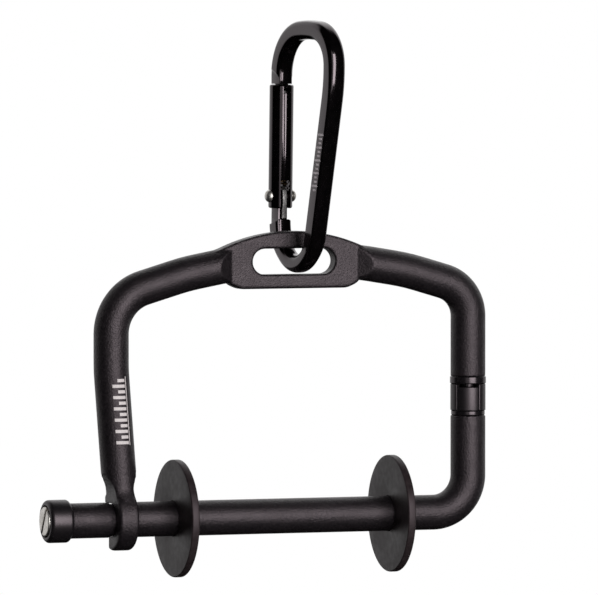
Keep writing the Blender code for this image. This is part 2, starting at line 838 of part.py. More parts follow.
def nose_outline():
    """The nose's tongue, whose blunt point ends inside the gate's top slot."""
    foot = GATE_TOP + NOSE_NECK_INNER - 0.4
    tip = GATE_TOP - NOSE_TONGUE_REACH
    return [(1.6, foot), (-1.6, foot), (-1.6, tip + 0.6), (-1.0, tip), (1.0, tip), (1.6, tip + 0.6)]


def build_carabiner_body():
    body = swept_body("carabiner_body")
    neck = NOSE_NECK_THICKNESS / 2
    tang_half = TANG_THICKNESS / 2
    for name, side in (("left", -1), ("right", 1)):
        nose_ends = (GATE_TOP + NOSE_NECK_INNER, GATE_TOP + NOSE_NECK_OUTER, GATE_TOP - 3)
        nose_cutter = shoulder_cutter(f"nose_{name}_cutter", side, neck, NOSE_SLOPE, *nose_ends)
        boolean(body, nose_cutter, "DIFFERENCE")
        tang_ends = (TANG_SHOULDER, TANG_SHOULDER_OUTER, TANG_SHOULDER + 4)
        tang_cutter = shoulder_cutter(f"tang_{name}_cutter", side, tang_half + 0.02, TANG_SLOPE, *tang_ends)
        boolean(body, tang_cutter, "DIFFERENCE")
    tang = gate_outline(tang_outline(), "tang", TANG_THICKNESS, 0.0, HINGE, CUTTERS)
    boolean(body, tang, "UNION")
    nose = gate_outline(nose_outline(), "nose_tongue", NOSE_TONGUE_THICKNESS, 0.0, HINGE, CUTTERS)
    boolean(body, nose, "UNION")
    hole = turned(
        "tang_hole_cutter",
        disc_profile(RIVET_RADIUS + RUNNING_GAP, -2.0, 2.0, 0.05),
        HINGE,
        (0, 0, 0),
        (0, pi / 2, 0),
        steps=20,
        group=CUTTERS,
    )
    boolean(body, hole, "DIFFERENCE")
    return finish(body, GLOSS_BLACK)


def build_gate():
    gate = turned("carabiner_gate", disc_profile(GATE_RADIUS, GATE_BOTTOM, GATE_TOP, GATE_EDGE), HINGE)
    height = GATE_SLOT_TOP - GATE_BOTTOM + 1
    lower_slot = block(
        "hinge_slot_cutter",
        (GATE_SLOT_WIDTH, 4 * GATE_RADIUS, height),
        (0, 0, GATE_SLOT_TOP - height / 2),
        HINGE,
        group=CUTTERS,
    )
    boolean(gate, lower_slot, "DIFFERENCE")
    nose_slot = block(
        "nose_slot_cutter",
        (NOSE_SLOT_WIDTH, 4 * GATE_RADIUS, 2 * NOSE_SLOT_DEPTH),
        (0, 0, GATE_TOP),
        HINGE,
        group=CUTTERS,
    )
    boolean(gate, nose_slot, "DIFFERENCE")
    spring_bore = turned(
        "gate_bore_cutter",
        disc_profile(GATE_BORE_RADIUS, LINK_TOP - 0.2, GATE_BORE_TOP, 0.05),
        HINGE,
        steps=24,
        group=CUTTERS,
    )
    boolean(gate, spring_bore, "DIFFERENCE")
    rivet_hole = turned(
        "rivet_hole_cutter",
        disc_profile(RIVET_RADIUS + RUNNING_GAP, -4.0, 4.0, 0.05),
        HINGE,
        (0, 0, 0),
        (0, pi / 2, 0),
        steps=20,
        group=CUTTERS,
    )
    boolean(gate, rivet_hole, "DIFFERENCE")
    return finish(gate, GLOSS_BLACK)


def build_rivet():
    """The hinge rivet, with a domed head on each side of the gate."""
    head = GATE_RADIUS + 0.05
    dome = RIVET_HALF_LENGTH - head
    profile = [(0.0, RIVET_HALF_LENGTH)]
    for i in range(1, 6):
        angle = radians(18 * i)
        profile.append((RIVET_HEAD_RADIUS * sin(angle), head + dome * cos(angle)))
    profile += [(RIVET_RADIUS, head), (RIVET_RADIUS, -head)]
    for i in range(5, 0, -1):
        angle = radians(18 * i)
        profile.append((RIVET_HEAD_RADIUS * sin(angle), -head - dome * cos(angle)))
    profile.append((0.0, -RIVET_HALF_LENGTH))
    rivet = turned("gate_rivet", profile, HINGE, (0, 0, 0), (0, pi / 2, 0), steps=24)
    return finish(rivet, NICKEL)


def build_link_and_spring():
    """The pressed link that rocks on the body's shoulder, and the spring that it presses on."""
    foot_y = -1.45
    foot_z = TANG_SHOULDER + 0.25
    pad_z = LINK_TOP - LINK_THICKNESS / 2
    centre = [(foot_y, foot_z), (-1.75, -1.0), (-1.6, 1.2), (-0.9, pad_z), (0.8, pad_z)]
    rounded_centre = filleted(centre, [6.0, 0.4, 0.4], radians(15))
    half = LINK_THICKNESS / 2
    outline = []
    for side in (1, -1):
        run = rounded_centre if side == 1 else list(reversed(rounded_centre))
        for i, here in enumerate(run):
            before = run[max(i - 1, 0)]
            after = run[min(i + 1, len(run) - 1)]
            along = (after - before).normalized()
            outline.append((here.x + along.y * half, here.y - along.x * half))
    link = gate_outline(outline, "gate_link", LINK_WIDTH, 0.0, HINGE)
    finish(link, STEEL)
    spring = coil("gate_spring", 1.25, SPRING_WIRE, LINK_TOP + 0.15, GATE_BORE_TOP - 0.3, 8, HINGE)
    finish(spring, BRONZE)


clear_scene()
PARTS = new_collection("line_spool_holder")
CUTTERS = new_collection("cutters")

BLASTED_BLACK = material("blasted_black_anodised", (0.022, 0.020, 0.022), 0.48, 0.6)
SATIN_BLACK = material("satin_black_anodised", (0.018, 0.017, 0.018), 0.35, 0.6)
POLISHED_BLACK = material("polished_black_anodised", (0.02, 0.019, 0.02), 0.15, 0.8)
GLOSS_BLACK = material("gloss_black_anodised", (0.012, 0.011, 0.012), 0.12, 0.5)
RUBBER = material("black_rubber", (0.02, 0.02, 0.02), 0.45, 0.0)
NICKEL = material("bright_nickel", (0.72, 0.70, 0.67), 0.2, 1.0)
STEEL = material("plain_steel", (0.45, 0.45, 0.46), 0.3, 1.0)
BRONZE = material("spring_bronze", (0.40, 0.28, 0.14), 0.35, 1.0)

FRAME = empty("frame_reference", FRAME_REFERENCE)
ARM = empty("arm_swing_axis", (0, 0, 0), FRAME)
CARABINER = empty("carabiner_plane", (0, 0, 0), None, (0, 0, CARABINER_YAW))
HINGE = empty("gate_hinge", (0, gate_line_y(HINGE_Z), HINGE_Z), CARABINER, (gate_lean(), 0, 0))

build_upper_frame()
build_swivel()
build_lower_arm()
build_end_cap()
build_discs()
build_carabiner_body()
build_gate()
build_rivet()
build_link_and_spring()
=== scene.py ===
"""Looks for the line-spool holder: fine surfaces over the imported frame, its finishes, light and camera."""

import json
from math import asin, atan, cos, pi, radians, sin, sqrt, tan

import bmesh
import bpy
from mathutils import Matrix, Vector


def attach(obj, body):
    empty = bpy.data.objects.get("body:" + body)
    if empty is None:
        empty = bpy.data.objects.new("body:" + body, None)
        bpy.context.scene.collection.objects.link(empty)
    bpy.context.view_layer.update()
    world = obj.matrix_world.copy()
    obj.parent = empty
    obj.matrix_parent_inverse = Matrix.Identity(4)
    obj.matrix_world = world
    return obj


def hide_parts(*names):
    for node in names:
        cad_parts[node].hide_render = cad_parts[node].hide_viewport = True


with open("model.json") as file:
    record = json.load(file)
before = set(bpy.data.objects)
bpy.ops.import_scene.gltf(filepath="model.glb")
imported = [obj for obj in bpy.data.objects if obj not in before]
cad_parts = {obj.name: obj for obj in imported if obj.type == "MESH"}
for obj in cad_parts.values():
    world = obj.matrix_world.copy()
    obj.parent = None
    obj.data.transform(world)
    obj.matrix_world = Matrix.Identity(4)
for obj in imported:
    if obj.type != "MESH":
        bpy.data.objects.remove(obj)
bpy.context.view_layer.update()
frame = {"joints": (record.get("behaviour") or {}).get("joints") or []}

MM = 0.001
JOINTS = {joint["name"]: joint for joint in frame["joints"]}

# Frame, in millimetres from the point where the swivel's axis meets the bar's axis
ROD_RADIUS = 3.5
LEG_SPACING = 75.9
HOOK_X = -74.0
LEG_END_LEAN = 0.07
LEG_BEND_Z = 29.7
LEG_PRINT_LEAN = 0.0757
LEG_LINE_AT = 30
LEG_FOOT_Z = 9.4
SHOULDER_Z = 50.9
UPPER_END_Z = 27.25
ARM_TOP_Z = 19.4
BAR_END_X = -84.9
CORNER_RADIUS = 7.5
PLATE_X = -37.75
PLATE_HALF_LENGTH = 13.25
PLATE_THICKNESS = 3.5
PLATE_TOP_Z = 56.85
PLATE_SHOULDER_Z = 53.8
PLATE_BOTTOM_Z = 45.4
RAMP_LENGTH = 3.0
SLOT_LENGTH = 17.5
SLOT_BOTTOM_Z = 48.25
SLOT_TOP_Z = 53.4
HOOK_OUTER_RADIUS = 6.1
HOOK_WIDTH = 4.1
HOOK_LIP_Y = 1.3
HOOK_BACK_Y = 3.5
NECK_RADIUS = 3.2
NECK_LENGTH = 5.15
HOOK_BORE_RADIUS = 3.27
HOOK_SHANK_END_Z = 4.2

# Swivel in the right leg, heights along its axis
COLLAR_BOTTOM_Z = 25.75
COLLAR_TOP_Z = 27.2
COLLAR_RADIUS = 3.62
SLEEVE_BOTTOM_Z = 20.36
SLEEVE_TOP_Z = 25.7
SLEEVE_RADIUS = 3.53
SLEEVE_BORE_RADIUS = 2.45
WINDOW_HALF_ANGLE = radians(41)
WINDOW_FACING = radians(-112)
KEY_BOTTOM_Z = 20.36
KEY_TOP_Z = 25.1
KEY_HALF_ANGLE = radians(39.5)
KEY_RADIUS = 3.48
KEY_INNER_RADIUS = 1.25
WASHER_BOTTOM_Z = 19.46
WASHER_TOP_Z = 20.3
WASHER_RADIUS = 3.4
SPINDLE_BORE_RADIUS = 1.6

# Bar end and discs
CAP_RADIUS = 4.27
CAP_LENGTH = 4.75
CAP_CHAMFER = 0.85
CAP_GAP = 0.1
COUNTERBORE_RADIUS = 3.2
COUNTERBORE_DEPTH = 1.3
SCREW_BORE_RADIUS = 1.6
SCREW_HEAD_RADIUS = 2.93
SCREW_HEAD_DEPTH = 1.5
SCREW_SLOT_WIDTH = 0.8
SCREW_SLOT_DEPTH = 0.75
SCREW_SLOT_TURN = radians(30)
DISC_RADIUS = 11.7
DISC_HALF = 0.8
LEFT_DISC_X = -62.2
RIGHT_DISC_X = -16.4

# Carabiner, in millimetres from its hang point: Y towards the gate, Z up, X across its plane
BODY_SIZE = 3.5
BODY_EDGE = 0.55
BODY_CROWN = 0.18
BOW_SIZE = 3.8
BOW_EDGE = 1.15
BOW_SECTION_FROM_Z = -3.0
BOW_SECTION_TO_Z = -14.0
BOW_Z = 1.9
BOW_GATE_DROP = 0.83
BOW_SPINE_DROP = 0.56
BOW_GATE_RADIUS = 9.36
BOW_TOP_RADIUS = 30.0
BOW_SPINE_RADIUS = 6.8
NOSE_Y = 11.55
NOSE_Z = -9.1
SPINE_LEAN = radians(13.65)
SPINE_BEND_Z = -8.65
SPINE_BEND_RADIUS = 28.0
FOOT_HALF_WIDTH = 7.2
FOOT_HALF_HEIGHT = 8.2
FOOT_Y = 5.0
FOOT_CENTRE_Z = -36.65
FOOT_EDGE = 1.25
FOOT_EDGE_FROM_Z = -39.5
FOOT_EDGE_TO_Z = -43.0

# Gate and hinge, heights along the gate from its rivet
HINGE_Z = -31.5
GATE_RADIUS = 2.4
GATE_TOP = 22.25
GATE_BOTTOM = -2.4
GATE_SLOT_HALF = 1.15
GATE_SLOT_TOP = 3.2
GATE_BORE_RADIUS = 1.6
GATE_BORE_TOP = 11.2
NOSE_SLOT_HALF = 0.8
NOSE_SLOT_DEPTH = 1.7
NECK_HALF = 1.45
NECK_INNER = 1.3
NECK_OUTER = 2.9
TONGUE_HALF = 0.6
TONGUE_REACH = 1.2
NOSE_SLOPE = 1.5
TANG_SLOPE = 0.35
TANG_HALF = 1.0
TANG_INNER = -1.0
TANG_OUTER = 1.75
TANG_SHOULDER = -4.6
TANG_SHOULDER_OUTER = -5.6
RIVET_RADIUS = 0.75
RIVET_HEAD_RADIUS = 1.25
RIVET_HALF_LENGTH = 3.4
LINK_WIDTH = 1.0
LINK_THICKNESS = 0.45
LINK_TOP = 1.95
SPRING_RADIUS = 1.25
SPRING_WIRE = 0.2

FRAME_AT = Vector(JOINTS["arm_swing"]["pos_m"])
HINGE_AT = Vector(JOINTS["gate_open"]["pos_m"])
ACROSS = Vector(JOINTS["gate_open"]["axis"]).normalized()
TOWARDS_GATE = Vector((0, 0, 1)).cross(ACROSS)


# ---------------------------------------------------------------- places


def placed(origin, x_axis, y_axis, z_axis):
    """A matrix from millimetres in a local frame to metres in the row's frame."""
    turn = Matrix((x_axis, y_axis, z_axis)).transposed().to_4x4()
    return Matrix.Translation(origin) @ turn @ Matrix.Scale(MM, 4)


def along_x(matrix, x, z=0.0):
    """Local +Z turned to the frame's +X, at a place along the bar."""
    return matrix @ Matrix.Translation((x, 0, z)) @ Matrix.Rotation(pi / 2, 4, "Y")


FRAME = placed(FRAME_AT, Vector((1, 0, 0)), Vector((0, 1, 0)), Vector((0, 0, 1)))
CARABINER = placed(Vector((0, 0, 0)), ACROSS, TOWARDS_GATE, Vector((0, 0, 1)))
GATE_LEAN = atan((FOOT_Y + FOOT_HALF_WIDTH - NOSE_Y) / (NOSE_Z - FOOT_CENTRE_Z))
HINGE = Matrix.Translation(HINGE_AT) @ CARABINER @ Matrix.Rotation(GATE_LEAN, 4, "X")


# ---------------------------------------------------------------- meshes


def new_piece(name, work, matrix, sharp=radians(32)):
    """An object in the row's frame from a bmesh in local millimetres."""
    bmesh.ops.transform(work, matrix=matrix, verts=work.verts)
    bmesh.ops.recalc_face_normals(work, faces=work.faces)
    mesh = bpy.data.meshes.new(name)
    work.to_mesh(mesh)
    work.free()
    mesh.shade_smooth()
    mesh.set_sharp_from_angle(angle=sharp)
    made = bpy.data.objects.new(name, mesh)
    bpy.context.scene.collection.objects.link(made)
    return made


def loft(rings, capped=True, looped=False):
    """A skin over rings that have the same number of points each."""
    work = bmesh.new()
    loops = [[work.verts.new(point) for point in ring] for ring in rings]
    pairs = list(zip(loops, loops[1:]))
    if looped:
        pairs.append((loops[-1], loops[0]))
    for lower, upper in pairs:
        for i, vert in enumerate(lower):
            after = (i + 1) % len(lower)
            work.faces.new((vert, lower[after], upper[after], upper[i]))
    if capped and not looped:
        work.faces.new(list(reversed(loops[0])))
        work.faces.new(loops[-1])
    return work


def lathe(profile, segments=96, closed=False):
    """A profile of (radius, height) turned about Z. A radius of nought is a point on the axis."""
    work = bmesh.new()
    rows = []
    for radius, z in profile:
        if radius < 1e-6:
            rows.append([work.verts.new((0, 0, z))])
            continue
        rows.append([work.verts.new((radius * cos(a), radius * sin(a), z)) for a in turn_angles(segments)])
    pairs = list(zip(rows, rows[1:]))
    if closed:
        pairs.append((rows[-1], rows[0]))
    for upper, lower in pairs:
        for i in range(segments):
            after = (i + 1) % segments
            corners = [upper[i % len(upper)], lower[i % len(lower)]]
            corners += [lower[after % len(lower)], upper[after % len(upper)]]
            work.faces.new(list(dict.fromkeys(corners)))
    return work


def turn_angles(count):
    """Evenly spaced angles round a whole turn."""
    return [2 * pi * i / count for i in range(count)]


def arc(centre, radius, start, end, count=6):
    """Points of an arc about a centre, angles in degrees."""
    angles = [radians(start + (end - start) * i / count) for i in range(count + 1)]
    return [(centre[0] + radius * cos(a), centre[1] + radius * sin(a)) for a in angles]


def ring_profile(inner, outer, bottom, top, edge, inner_edge=0.08):
    """A ring's section with every edge rounded, from the inner top round the outside."""
    return (
        arc((inner + inner_edge, top - inner_edge), inner_edge, 180, 90, 3)
        + arc((outer - edge, top - edge), edge, 90, 0)
        + arc((outer - edge, bottom + edge), edge, 0, -90)
        + arc((inner + inner_edge, bottom + inner_edge), inner_edge, 270, 180, 3)
    )


def solid_profile(outer, bottom, top, edge):
    """A solid round piece's section with rounded rims, from the axis to the axis."""
    return (
        [(0.0, top)]
        + arc((outer - edge, top - edge), edge, 90, 0)
        + arc((outer - edge, bottom + edge), edge, 0, -90)
        + [(0.0, bottom)]
    )


def filleted(corners, radii, step=radians(3)):
    """Points of a flat path whose inner corners are rounded to the given radii."""
    points = [Vector(corners[0])]
    for before, corner, after, radius in zip(corners, corners[1:], corners[2:], radii):
        corner = Vector(corner)
        inward = (Vector(before) - corner).normalized()
        outward = (Vector(after) - corner).normalized()
        half = inward.angle(outward) / 2
        centre = corner + (inward + outward).normalized() * radius / sin(half)
        start = corner + inward * radius / tan(half) - centre
        turn = start.angle_signed(corner + outward * radius / tan(half) - centre)
        count = max(3, round(abs(turn) / step))
        for i in range(count + 1):
            points.append(centre + Matrix.Rotation(-turn * i / count, 2) @ start)
    points.append(Vector(corners[-1]))
    return points


def spaced(points, pitch):
    """The same flat path with extra points, so that none are further apart than the pitch."""
    out = [points[0]]
    for here, after in zip(points, points[1:]):
        count = max(1, int((after - here).length / pitch) + 1)
        out += [here.lerp(after, (i + 1) / count) for i in range(count)]
    return out


def rod_rings(path, radius_at, sides=64):
    """Rings of a round rod along a flat path in the local XZ plane."""
    rings = []
    for i, here in enumerate(path):
        before = path[max(i - 1, 0)]
        after = path[min(i + 1, len(path) - 1)]
        along = (after - before).normalized()
        side = Vector((-along.y, 0, along.x))
        radius = radius_at(here)
        centre = Vector((here.x, 0, here.y))
        forward = Vector((0, radius, 0))
        rings.append([centre + side * radius * cos(a) + forward * sin(a) for a in turn_angles(sides)])
    return rings


def squircle(half_x, half_y, power, count=64):
    """A section between an ellipse, power 2, and a rounded rectangle, higher powers."""
    points = []
    for angle in turn_angles(count):
        c, s = cos(angle), sin(angle)
        scale = (abs(c) ** power + abs(s) ** power) ** (-1 / power)
        points.append((half_x * c * scale, half_y * s * scale))
    return points


def stadium(length, height, centre, grow=0.0, count=20):
    radius = height / 2
    reach = length / 2 - radius
    points = []
    for side, first in ((1, -90), (-1, 90)):
        points += arc((centre[0] + side * reach, centre[1]), radius + grow, first, first + 180, count)
    return points


def prism(outline, low, high, axis="Y"):
    """A flat outline given thickness along local Y or X."""
    if axis == "Y":
        return loft([[(x, y, z) for x, z in outline] for y in (low, high)])
    return loft([[(x, y, z) for y, z in outline] for x in (low, high)])


def cube(low, high):
    outline = [(low[0], low[2]), (high[0], low[2]), (high[0], high[2]), (low[0], high[2])]
    return prism(outline, low[1], high[1])


def carved(piece, others):
    """Joins or cuts a piece with (bmesh, matrix, operation) shapes, and keeps only the result."""
    helpers = []
    for i, (work, matrix, operation) in enumerate(others):
        other = new_piece(f"{piece.name}_shape_{i}", work, matrix)
        helpers.append(other)
        modifier = piece.modifiers.new(other.name, "BOOLEAN")
        modifier.operation = operation
        modifier.object = other
        modifier.solver = "EXACT"
    settle(piece)
    for other in helpers:
        bpy.data.meshes.remove(other.data)
    return piece


def settle(piece, sharp=radians(32)):
    """Makes a piece's modifiers part of its mesh."""
    bpy.context.view_layer.update()
    graph = bpy.context.evaluated_depsgraph_get()
    mesh = bpy.data.meshes.new_from_object(piece.evaluated_get(graph))
    piece.modifiers.clear()
    old = piece.data
    piece.data = mesh
    bpy.data.meshes.remove(old)
    work = bmesh.new()
    work.from_mesh(mesh)
    bmesh.ops.remove_doubles(work, verts=work.verts, dist=1e-7)
    bmesh.ops.dissolve_degenerate(work, dist=1e-7, edges=work.edges)
    work.to_mesh(mesh)
    work.free()
    mesh.shade_smooth()
    mesh.set_sharp_from_angle(angle=sharp)
    return piece


def eased(piece, width, segments=2, angle=radians(30)):
    """Small rounds on every sharp edge."""
    modifier = piece.modifiers.new("ease", "BEVEL")
    modifier.width = width * MM
    modifier.segments = segments
    modifier.limit_method = "ANGLE"
    modifier.angle_limit = angle
    modifier.use_clamp_overlap = True
    modifier.harden_normals = False
    return settle(piece, radians(50))


def remeshed(piece, voxel, passes):
    """One even skin over joined shapes, with blasted, softly rounded edges."""
    remesh = piece.modifiers.new("skin", "REMESH")
    remesh.mode = "VOXEL"
    remesh.voxel_size = voxel * MM
    remesh.use_smooth_shade = True
    smooth = piece.modifiers.new("soften", "SMOOTH")
    smooth.factor = 0.5
    smooth.iterations = passes
    return settle(piece, radians(80))


def show(piece, body, finish, slot, *nodes):
    """Gives a piece its finish and its body, and hides the CAD nodes that it stands for.

    The slot argument is not used.
    """
    piece.data.materials.clear()
    piece.data.materials.append(finish)
    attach(piece, body)
    if nodes:
        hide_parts(*nodes)
    return piece


# ---------------------------------------------------------------- finishes


def finish_nodes(name, colour, roughness, metallic=0.0, specular=0.5, sheen=(1, 1, 1)):
    material = bpy.data.materials.new(name)
    material.use_nodes = True
    shader = material.node_tree.nodes["Principled BSDF"]
    shader.inputs["Base Color"].default_value = (*colour, 1.0)
    shader.inputs["Roughness"].default_value = roughness
    shader.inputs["Metallic"].default_value = metallic
    shader.inputs["Specular IOR Level"].default_value = specular
    shader.inputs["Specular Tint"].default_value = (*sheen, 1.0)
    return material, material.node_tree, shader


def noise(tree, size_mm, detail=2.0, roughness=0.5, stretch=(1, 1, 1)):
    """Noise with features of about the given size, fixed to the piece."""
    place = tree.nodes.new("ShaderNodeTexCoord")
    mapping = tree.nodes.new("ShaderNodeMapping")
    mapping.inputs["Scale"].default_value = stretch
    texture = tree.nodes.new("ShaderNodeTexNoise")
    texture.inputs["Scale"].default_value = 1 / (size_mm * MM)
    texture.inputs["Detail"].default_value = detail
    texture.inputs["Roughness"].default_value = roughness
    tree.links.new(place.outputs["Object"], mapping.inputs["Vector"])
    tree.links.new(mapping.outputs["Vector"], texture.inputs["Vector"])
    return texture


def vary(tree, texture, socket, low, high, start=0.3, end=0.7):
    """A texture drives a number between low and high."""
    spread = tree.nodes.new("ShaderNodeMapRange")
    spread.inputs["From Min"].default_value = start
    spread.inputs["From Max"].default_value = end
    spread.inputs["To Min"].default_value = low
    spread.inputs["To Max"].default_value = high
    tree.links.new(texture.outputs["Fac"], spread.inputs["Value"])
    tree.links.new(spread.outputs["Result"], socket)


def tint(tree, texture, socket, dark, light, start=0.3, end=0.7):
    """A texture drives a colour between two."""
    ramp = tree.nodes.new("ShaderNodeValToRGB")
    ramp.color_ramp.elements[0].position = start
    ramp.color_ramp.elements[1].position = end
    ramp.color_ramp.elements[0].color = (*dark, 1.0)
    ramp.color_ramp.elements[1].color = (*light, 1.0)
    tree.links.new(texture.outputs["Fac"], ramp.inputs["Fac"])
    tree.links.new(ramp.outputs["Color"], socket)


def bumps(tree, shader, layers):
    """Stacked bumps of (texture, strength, depth in millimetres)."""
    last = None
    for texture, strength, depth in layers:
        bump = tree.nodes.new("ShaderNodeBump")
        bump.inputs["Strength"].default_value = strength
        bump.inputs["Distance"].default_value = depth * MM
        tree.links.new(texture.outputs["Fac"], bump.inputs["Height"])
        if last:
            tree.links.new(last.outputs["Normal"], bump.inputs["Normal"])
        last = bump
    tree.links.new(last.outputs["Normal"], shader.inputs["Normal"])


def blasted_black():
    """Bead-blasted, black anodised aluminium: a fine even grain under a satin surface."""
    material, tree, shader = finish_nodes(
        "blasted_black_anodised", (0.006, 0.005, 0.006), 0.42, specular=0.42, sheen=DYE
    )
    grain = noise(tree, 0.4, 3.0, 0.7)
    cloud = noise(tree, 3.0, 2.0)
    tint(tree, grain, shader.inputs["Base Color"], (0.003, 0.0025, 0.003), (0.011, 0.009, 0.0105), 0.38, 0.66)
    vary(tree, cloud, shader.inputs["Roughness"], 0.38, 0.45)
    bumps(tree, shader, [(grain, 1.0, 0.11)])
    return material


def turned_black(name, roughness, specular, lines):
    """Turned and anodised black: faint lines round the piece from the tool."""
    material, tree, shader = finish_nodes(name, (0.005, 0.0043, 0.005), roughness, specular=specular, sheen=DYE)
    rings = noise(tree, lines, 2.0, 0.5, (6, 0.25, 0.25))
    tint(tree, rings, shader.inputs["Base Color"], (0.003, 0.0026, 0.003), (0.008, 0.007, 0.008))
    fine = noise(tree, 0.12, 2.0)
    vary(tree, fine, shader.inputs["Roughness"], roughness * 0.85, roughness * 1.15)
    bumps(tree, shader, [(fine, 0.12, 0.006)])
    return material


def gloss_black():
    """Tumbled aluminium dyed gloss black, smooth with a faint ripple."""
    material, tree, shader = finish_nodes(
        "gloss_black_anodised", (0.0015, 0.0012, 0.0014), 0.11, specular=0.75, sheen=DYE
    )
    ripple = noise(tree, 1.6, 2.0)
    fine = noise(tree, 0.6, 2.0)
    tint(tree, ripple, shader.inputs["Base Color"], (0.001, 0.0008, 0.0009), (0.0022, 0.0018, 0.002))
    vary(tree, fine, shader.inputs["Roughness"], 0.09, 0.12)
    bumps(tree, shader, [(ripple, 0.15, 0.02)])
    return material


def black_rubber():
    material, tree, shader = finish_nodes(
        "black_rubber", (0.016, 0.0115, 0.0122), 0.45, specular=0.24, sheen=DYE
    )
    cloud = noise(tree, 1.2, 3.0)
    fine = noise(tree, 0.1, 2.0)
    tint(tree, cloud, shader.inputs["Base Color"], (0.012, 0.0082, 0.0088), (0.02, 0.0148, 0.0158))
    vary(tree, cloud, shader.inputs["Roughness"], 0.4, 0.5)
    bumps(tree, shader, [(cloud, 0.1, 0.02), (fine, 0.1, 0.004)])
    return material


def bright_metal(name, dark, light, roughness, grain_mm):
    material, tree, shader = finish_nodes(name, light, roughness, metallic=1.0)
    cloud = noise(tree, grain_mm * 6, 3.0)
    fine = noise(tree, grain_mm, 2.0)
    tint(tree, cloud, shader.inputs["Base Color"], dark, light)
    vary(tree, fine, shader.inputs["Roughness"], roughness * 0.7, roughness * 1.3)
    bumps(tree, shader, [(fine, 0.2, 0.006)])
    return material


def ink(name, colour):
    material, tree, shader = finish_nodes(name, colour, 0.55)
    speckle = noise(tree, 0.12, 2.0)
    tint(tree, speckle, shader.inputs["Base Color"], tuple(0.8 * c for c in colour), colour)
    bumps(tree, shader, [(speckle, 0.2, 0.006)])
    return material


DYE = (1.0, 0.85, 0.91)
BLASTED = blasted_black()
SATIN = turned_black("satin_black_anodised", 0.38, 0.5, 0.25)
POLISHED = turned_black("polished_black_anodised", 0.22, 0.45, 0.2)
GLOSS = gloss_black()
RUBBER = black_rubber()
NICKEL = bright_metal("bright_nickel", (0.6, 0.57, 0.53), (0.86, 0.83, 0.79), 0.42, 0.12)
STEEL = bright_metal("plain_steel", (0.32, 0.32, 0.33), (0.5, 0.5, 0.51), 0.3, 0.1)
BRONZE = bright_metal("spring_bronze", (0.24, 0.16, 0.08), (0.45, 0.32, 0.18), 0.35, 0.1)
DARK_STEEL = bright_metal("dull_spring_steel", (0.1, 0.096, 0.095), (0.3, 0.29, 0.285), 0.42, 0.12)
WHITE_INK = ink("white_marking", (0.55, 0.5, 0.5))
ENGRAVED = bright_metal("engraved_aluminium", (0.3, 0.27, 0.28), (0.55, 0.5, 0.52), 0.42, 0.1)


# ---------------------------------------------------------------- upper frame


def upper_path():
    left = -LEG_SPACING
    corners = [
        (0.0, UPPER_END_Z),
        (0.0, 44.77),
        (-13.4, 48.74),
        (-26.3, SHOULDER_Z),
        (-47.6, SHOULDER_Z),
        (-60.2, 48.57),
        (left, 43.95),
        (left, LEG_BEND_Z),
        (HOOK_X - (LEG_FOOT_Z - HOOK_SHANK_END_Z) * LEG_END_LEAN, LEG_FOOT_Z),
    ]
    return spaced(filleted(corners, [7.3, 45.0, 60.0, 60.0, 45.0, 9.5, 40.0]), 2.0)


def plate_outline():
    """The eyelet plate from the front, with a tail at each shoulder that fades into the rod's top."""
    rise = PLATE_TOP_Z - PLATE_SHOULDER_Z
    reach = PLATE_HALF_LENGTH + 1.3
    radius = (reach ** 2 + rise ** 2) / (2 * rise)
    opening = asin(reach / radius)
    points = []
    for i in range(41):
        angle = opening - 2 * opening * i / 40
        points.append((PLATE_X + radius * sin(angle), PLATE_TOP_Z - radius + radius * cos(angle)))
    end = PLATE_X - reach
    other = PLATE_X + reach
    foot = PLATE_BOTTOM_Z
    lower = [(end, 49.0), (end, 46.8), (end + 3.2, foot), (other - 3.2, foot), (other, 46.8), (other, 49.0)]
    left_tail = []
    right_tail = []
    for out, drop in ((1.0, 0.4), (2.2, 0.83), (3.6, 1.25), (5.0, 1.65), (5.0, 3.8)):
        left_tail.append((end - out, PLATE_SHOULDER_Z - drop))
        right_tail.insert(0, (other + out, PLATE_SHOULDER_Z - drop))
    return right_tail + points + left_tail + [tuple(p) for p in filleted(lower, [3.0, 4.0, 4.0, 3.0])]


def ramp(side):
    face = side * (PLATE_THICKNESS / 2 - 0.04)
    outside = side * (ROD_RADIUS + 1.2)
    slope = RAMP_LENGTH * (abs(outside) - abs(face)) / (ROD_RADIUS - abs(face))
    start = PLATE_X - PLATE_HALF_LENGTH
    end = PLATE_X + PLATE_HALF_LENGTH
    outline = [(start, face), (end, face), (end + slope, outside), (start - slope, outside)]
    return loft([[(x, y, z) for x, y in outline] for z in (42.0, 60.0)])


def slot_shape():
    height = SLOT_TOP_Z - SLOT_BOTTOM_Z
    centre = (PLATE_X, (SLOT_TOP_Z + SLOT_BOTTOM_Z) / 2)
    half = PLATE_THICKNESS / 2
    stations = ((-half - 1.0, 1.3), (-half + 0.3, 0.0), (half - 0.3, 0.0), (half + 1.0, 1.3))
    return loft([[(x, y, z) for x, z in stadium(SLOT_LENGTH, height, centre, grow)] for y, grow in stations])


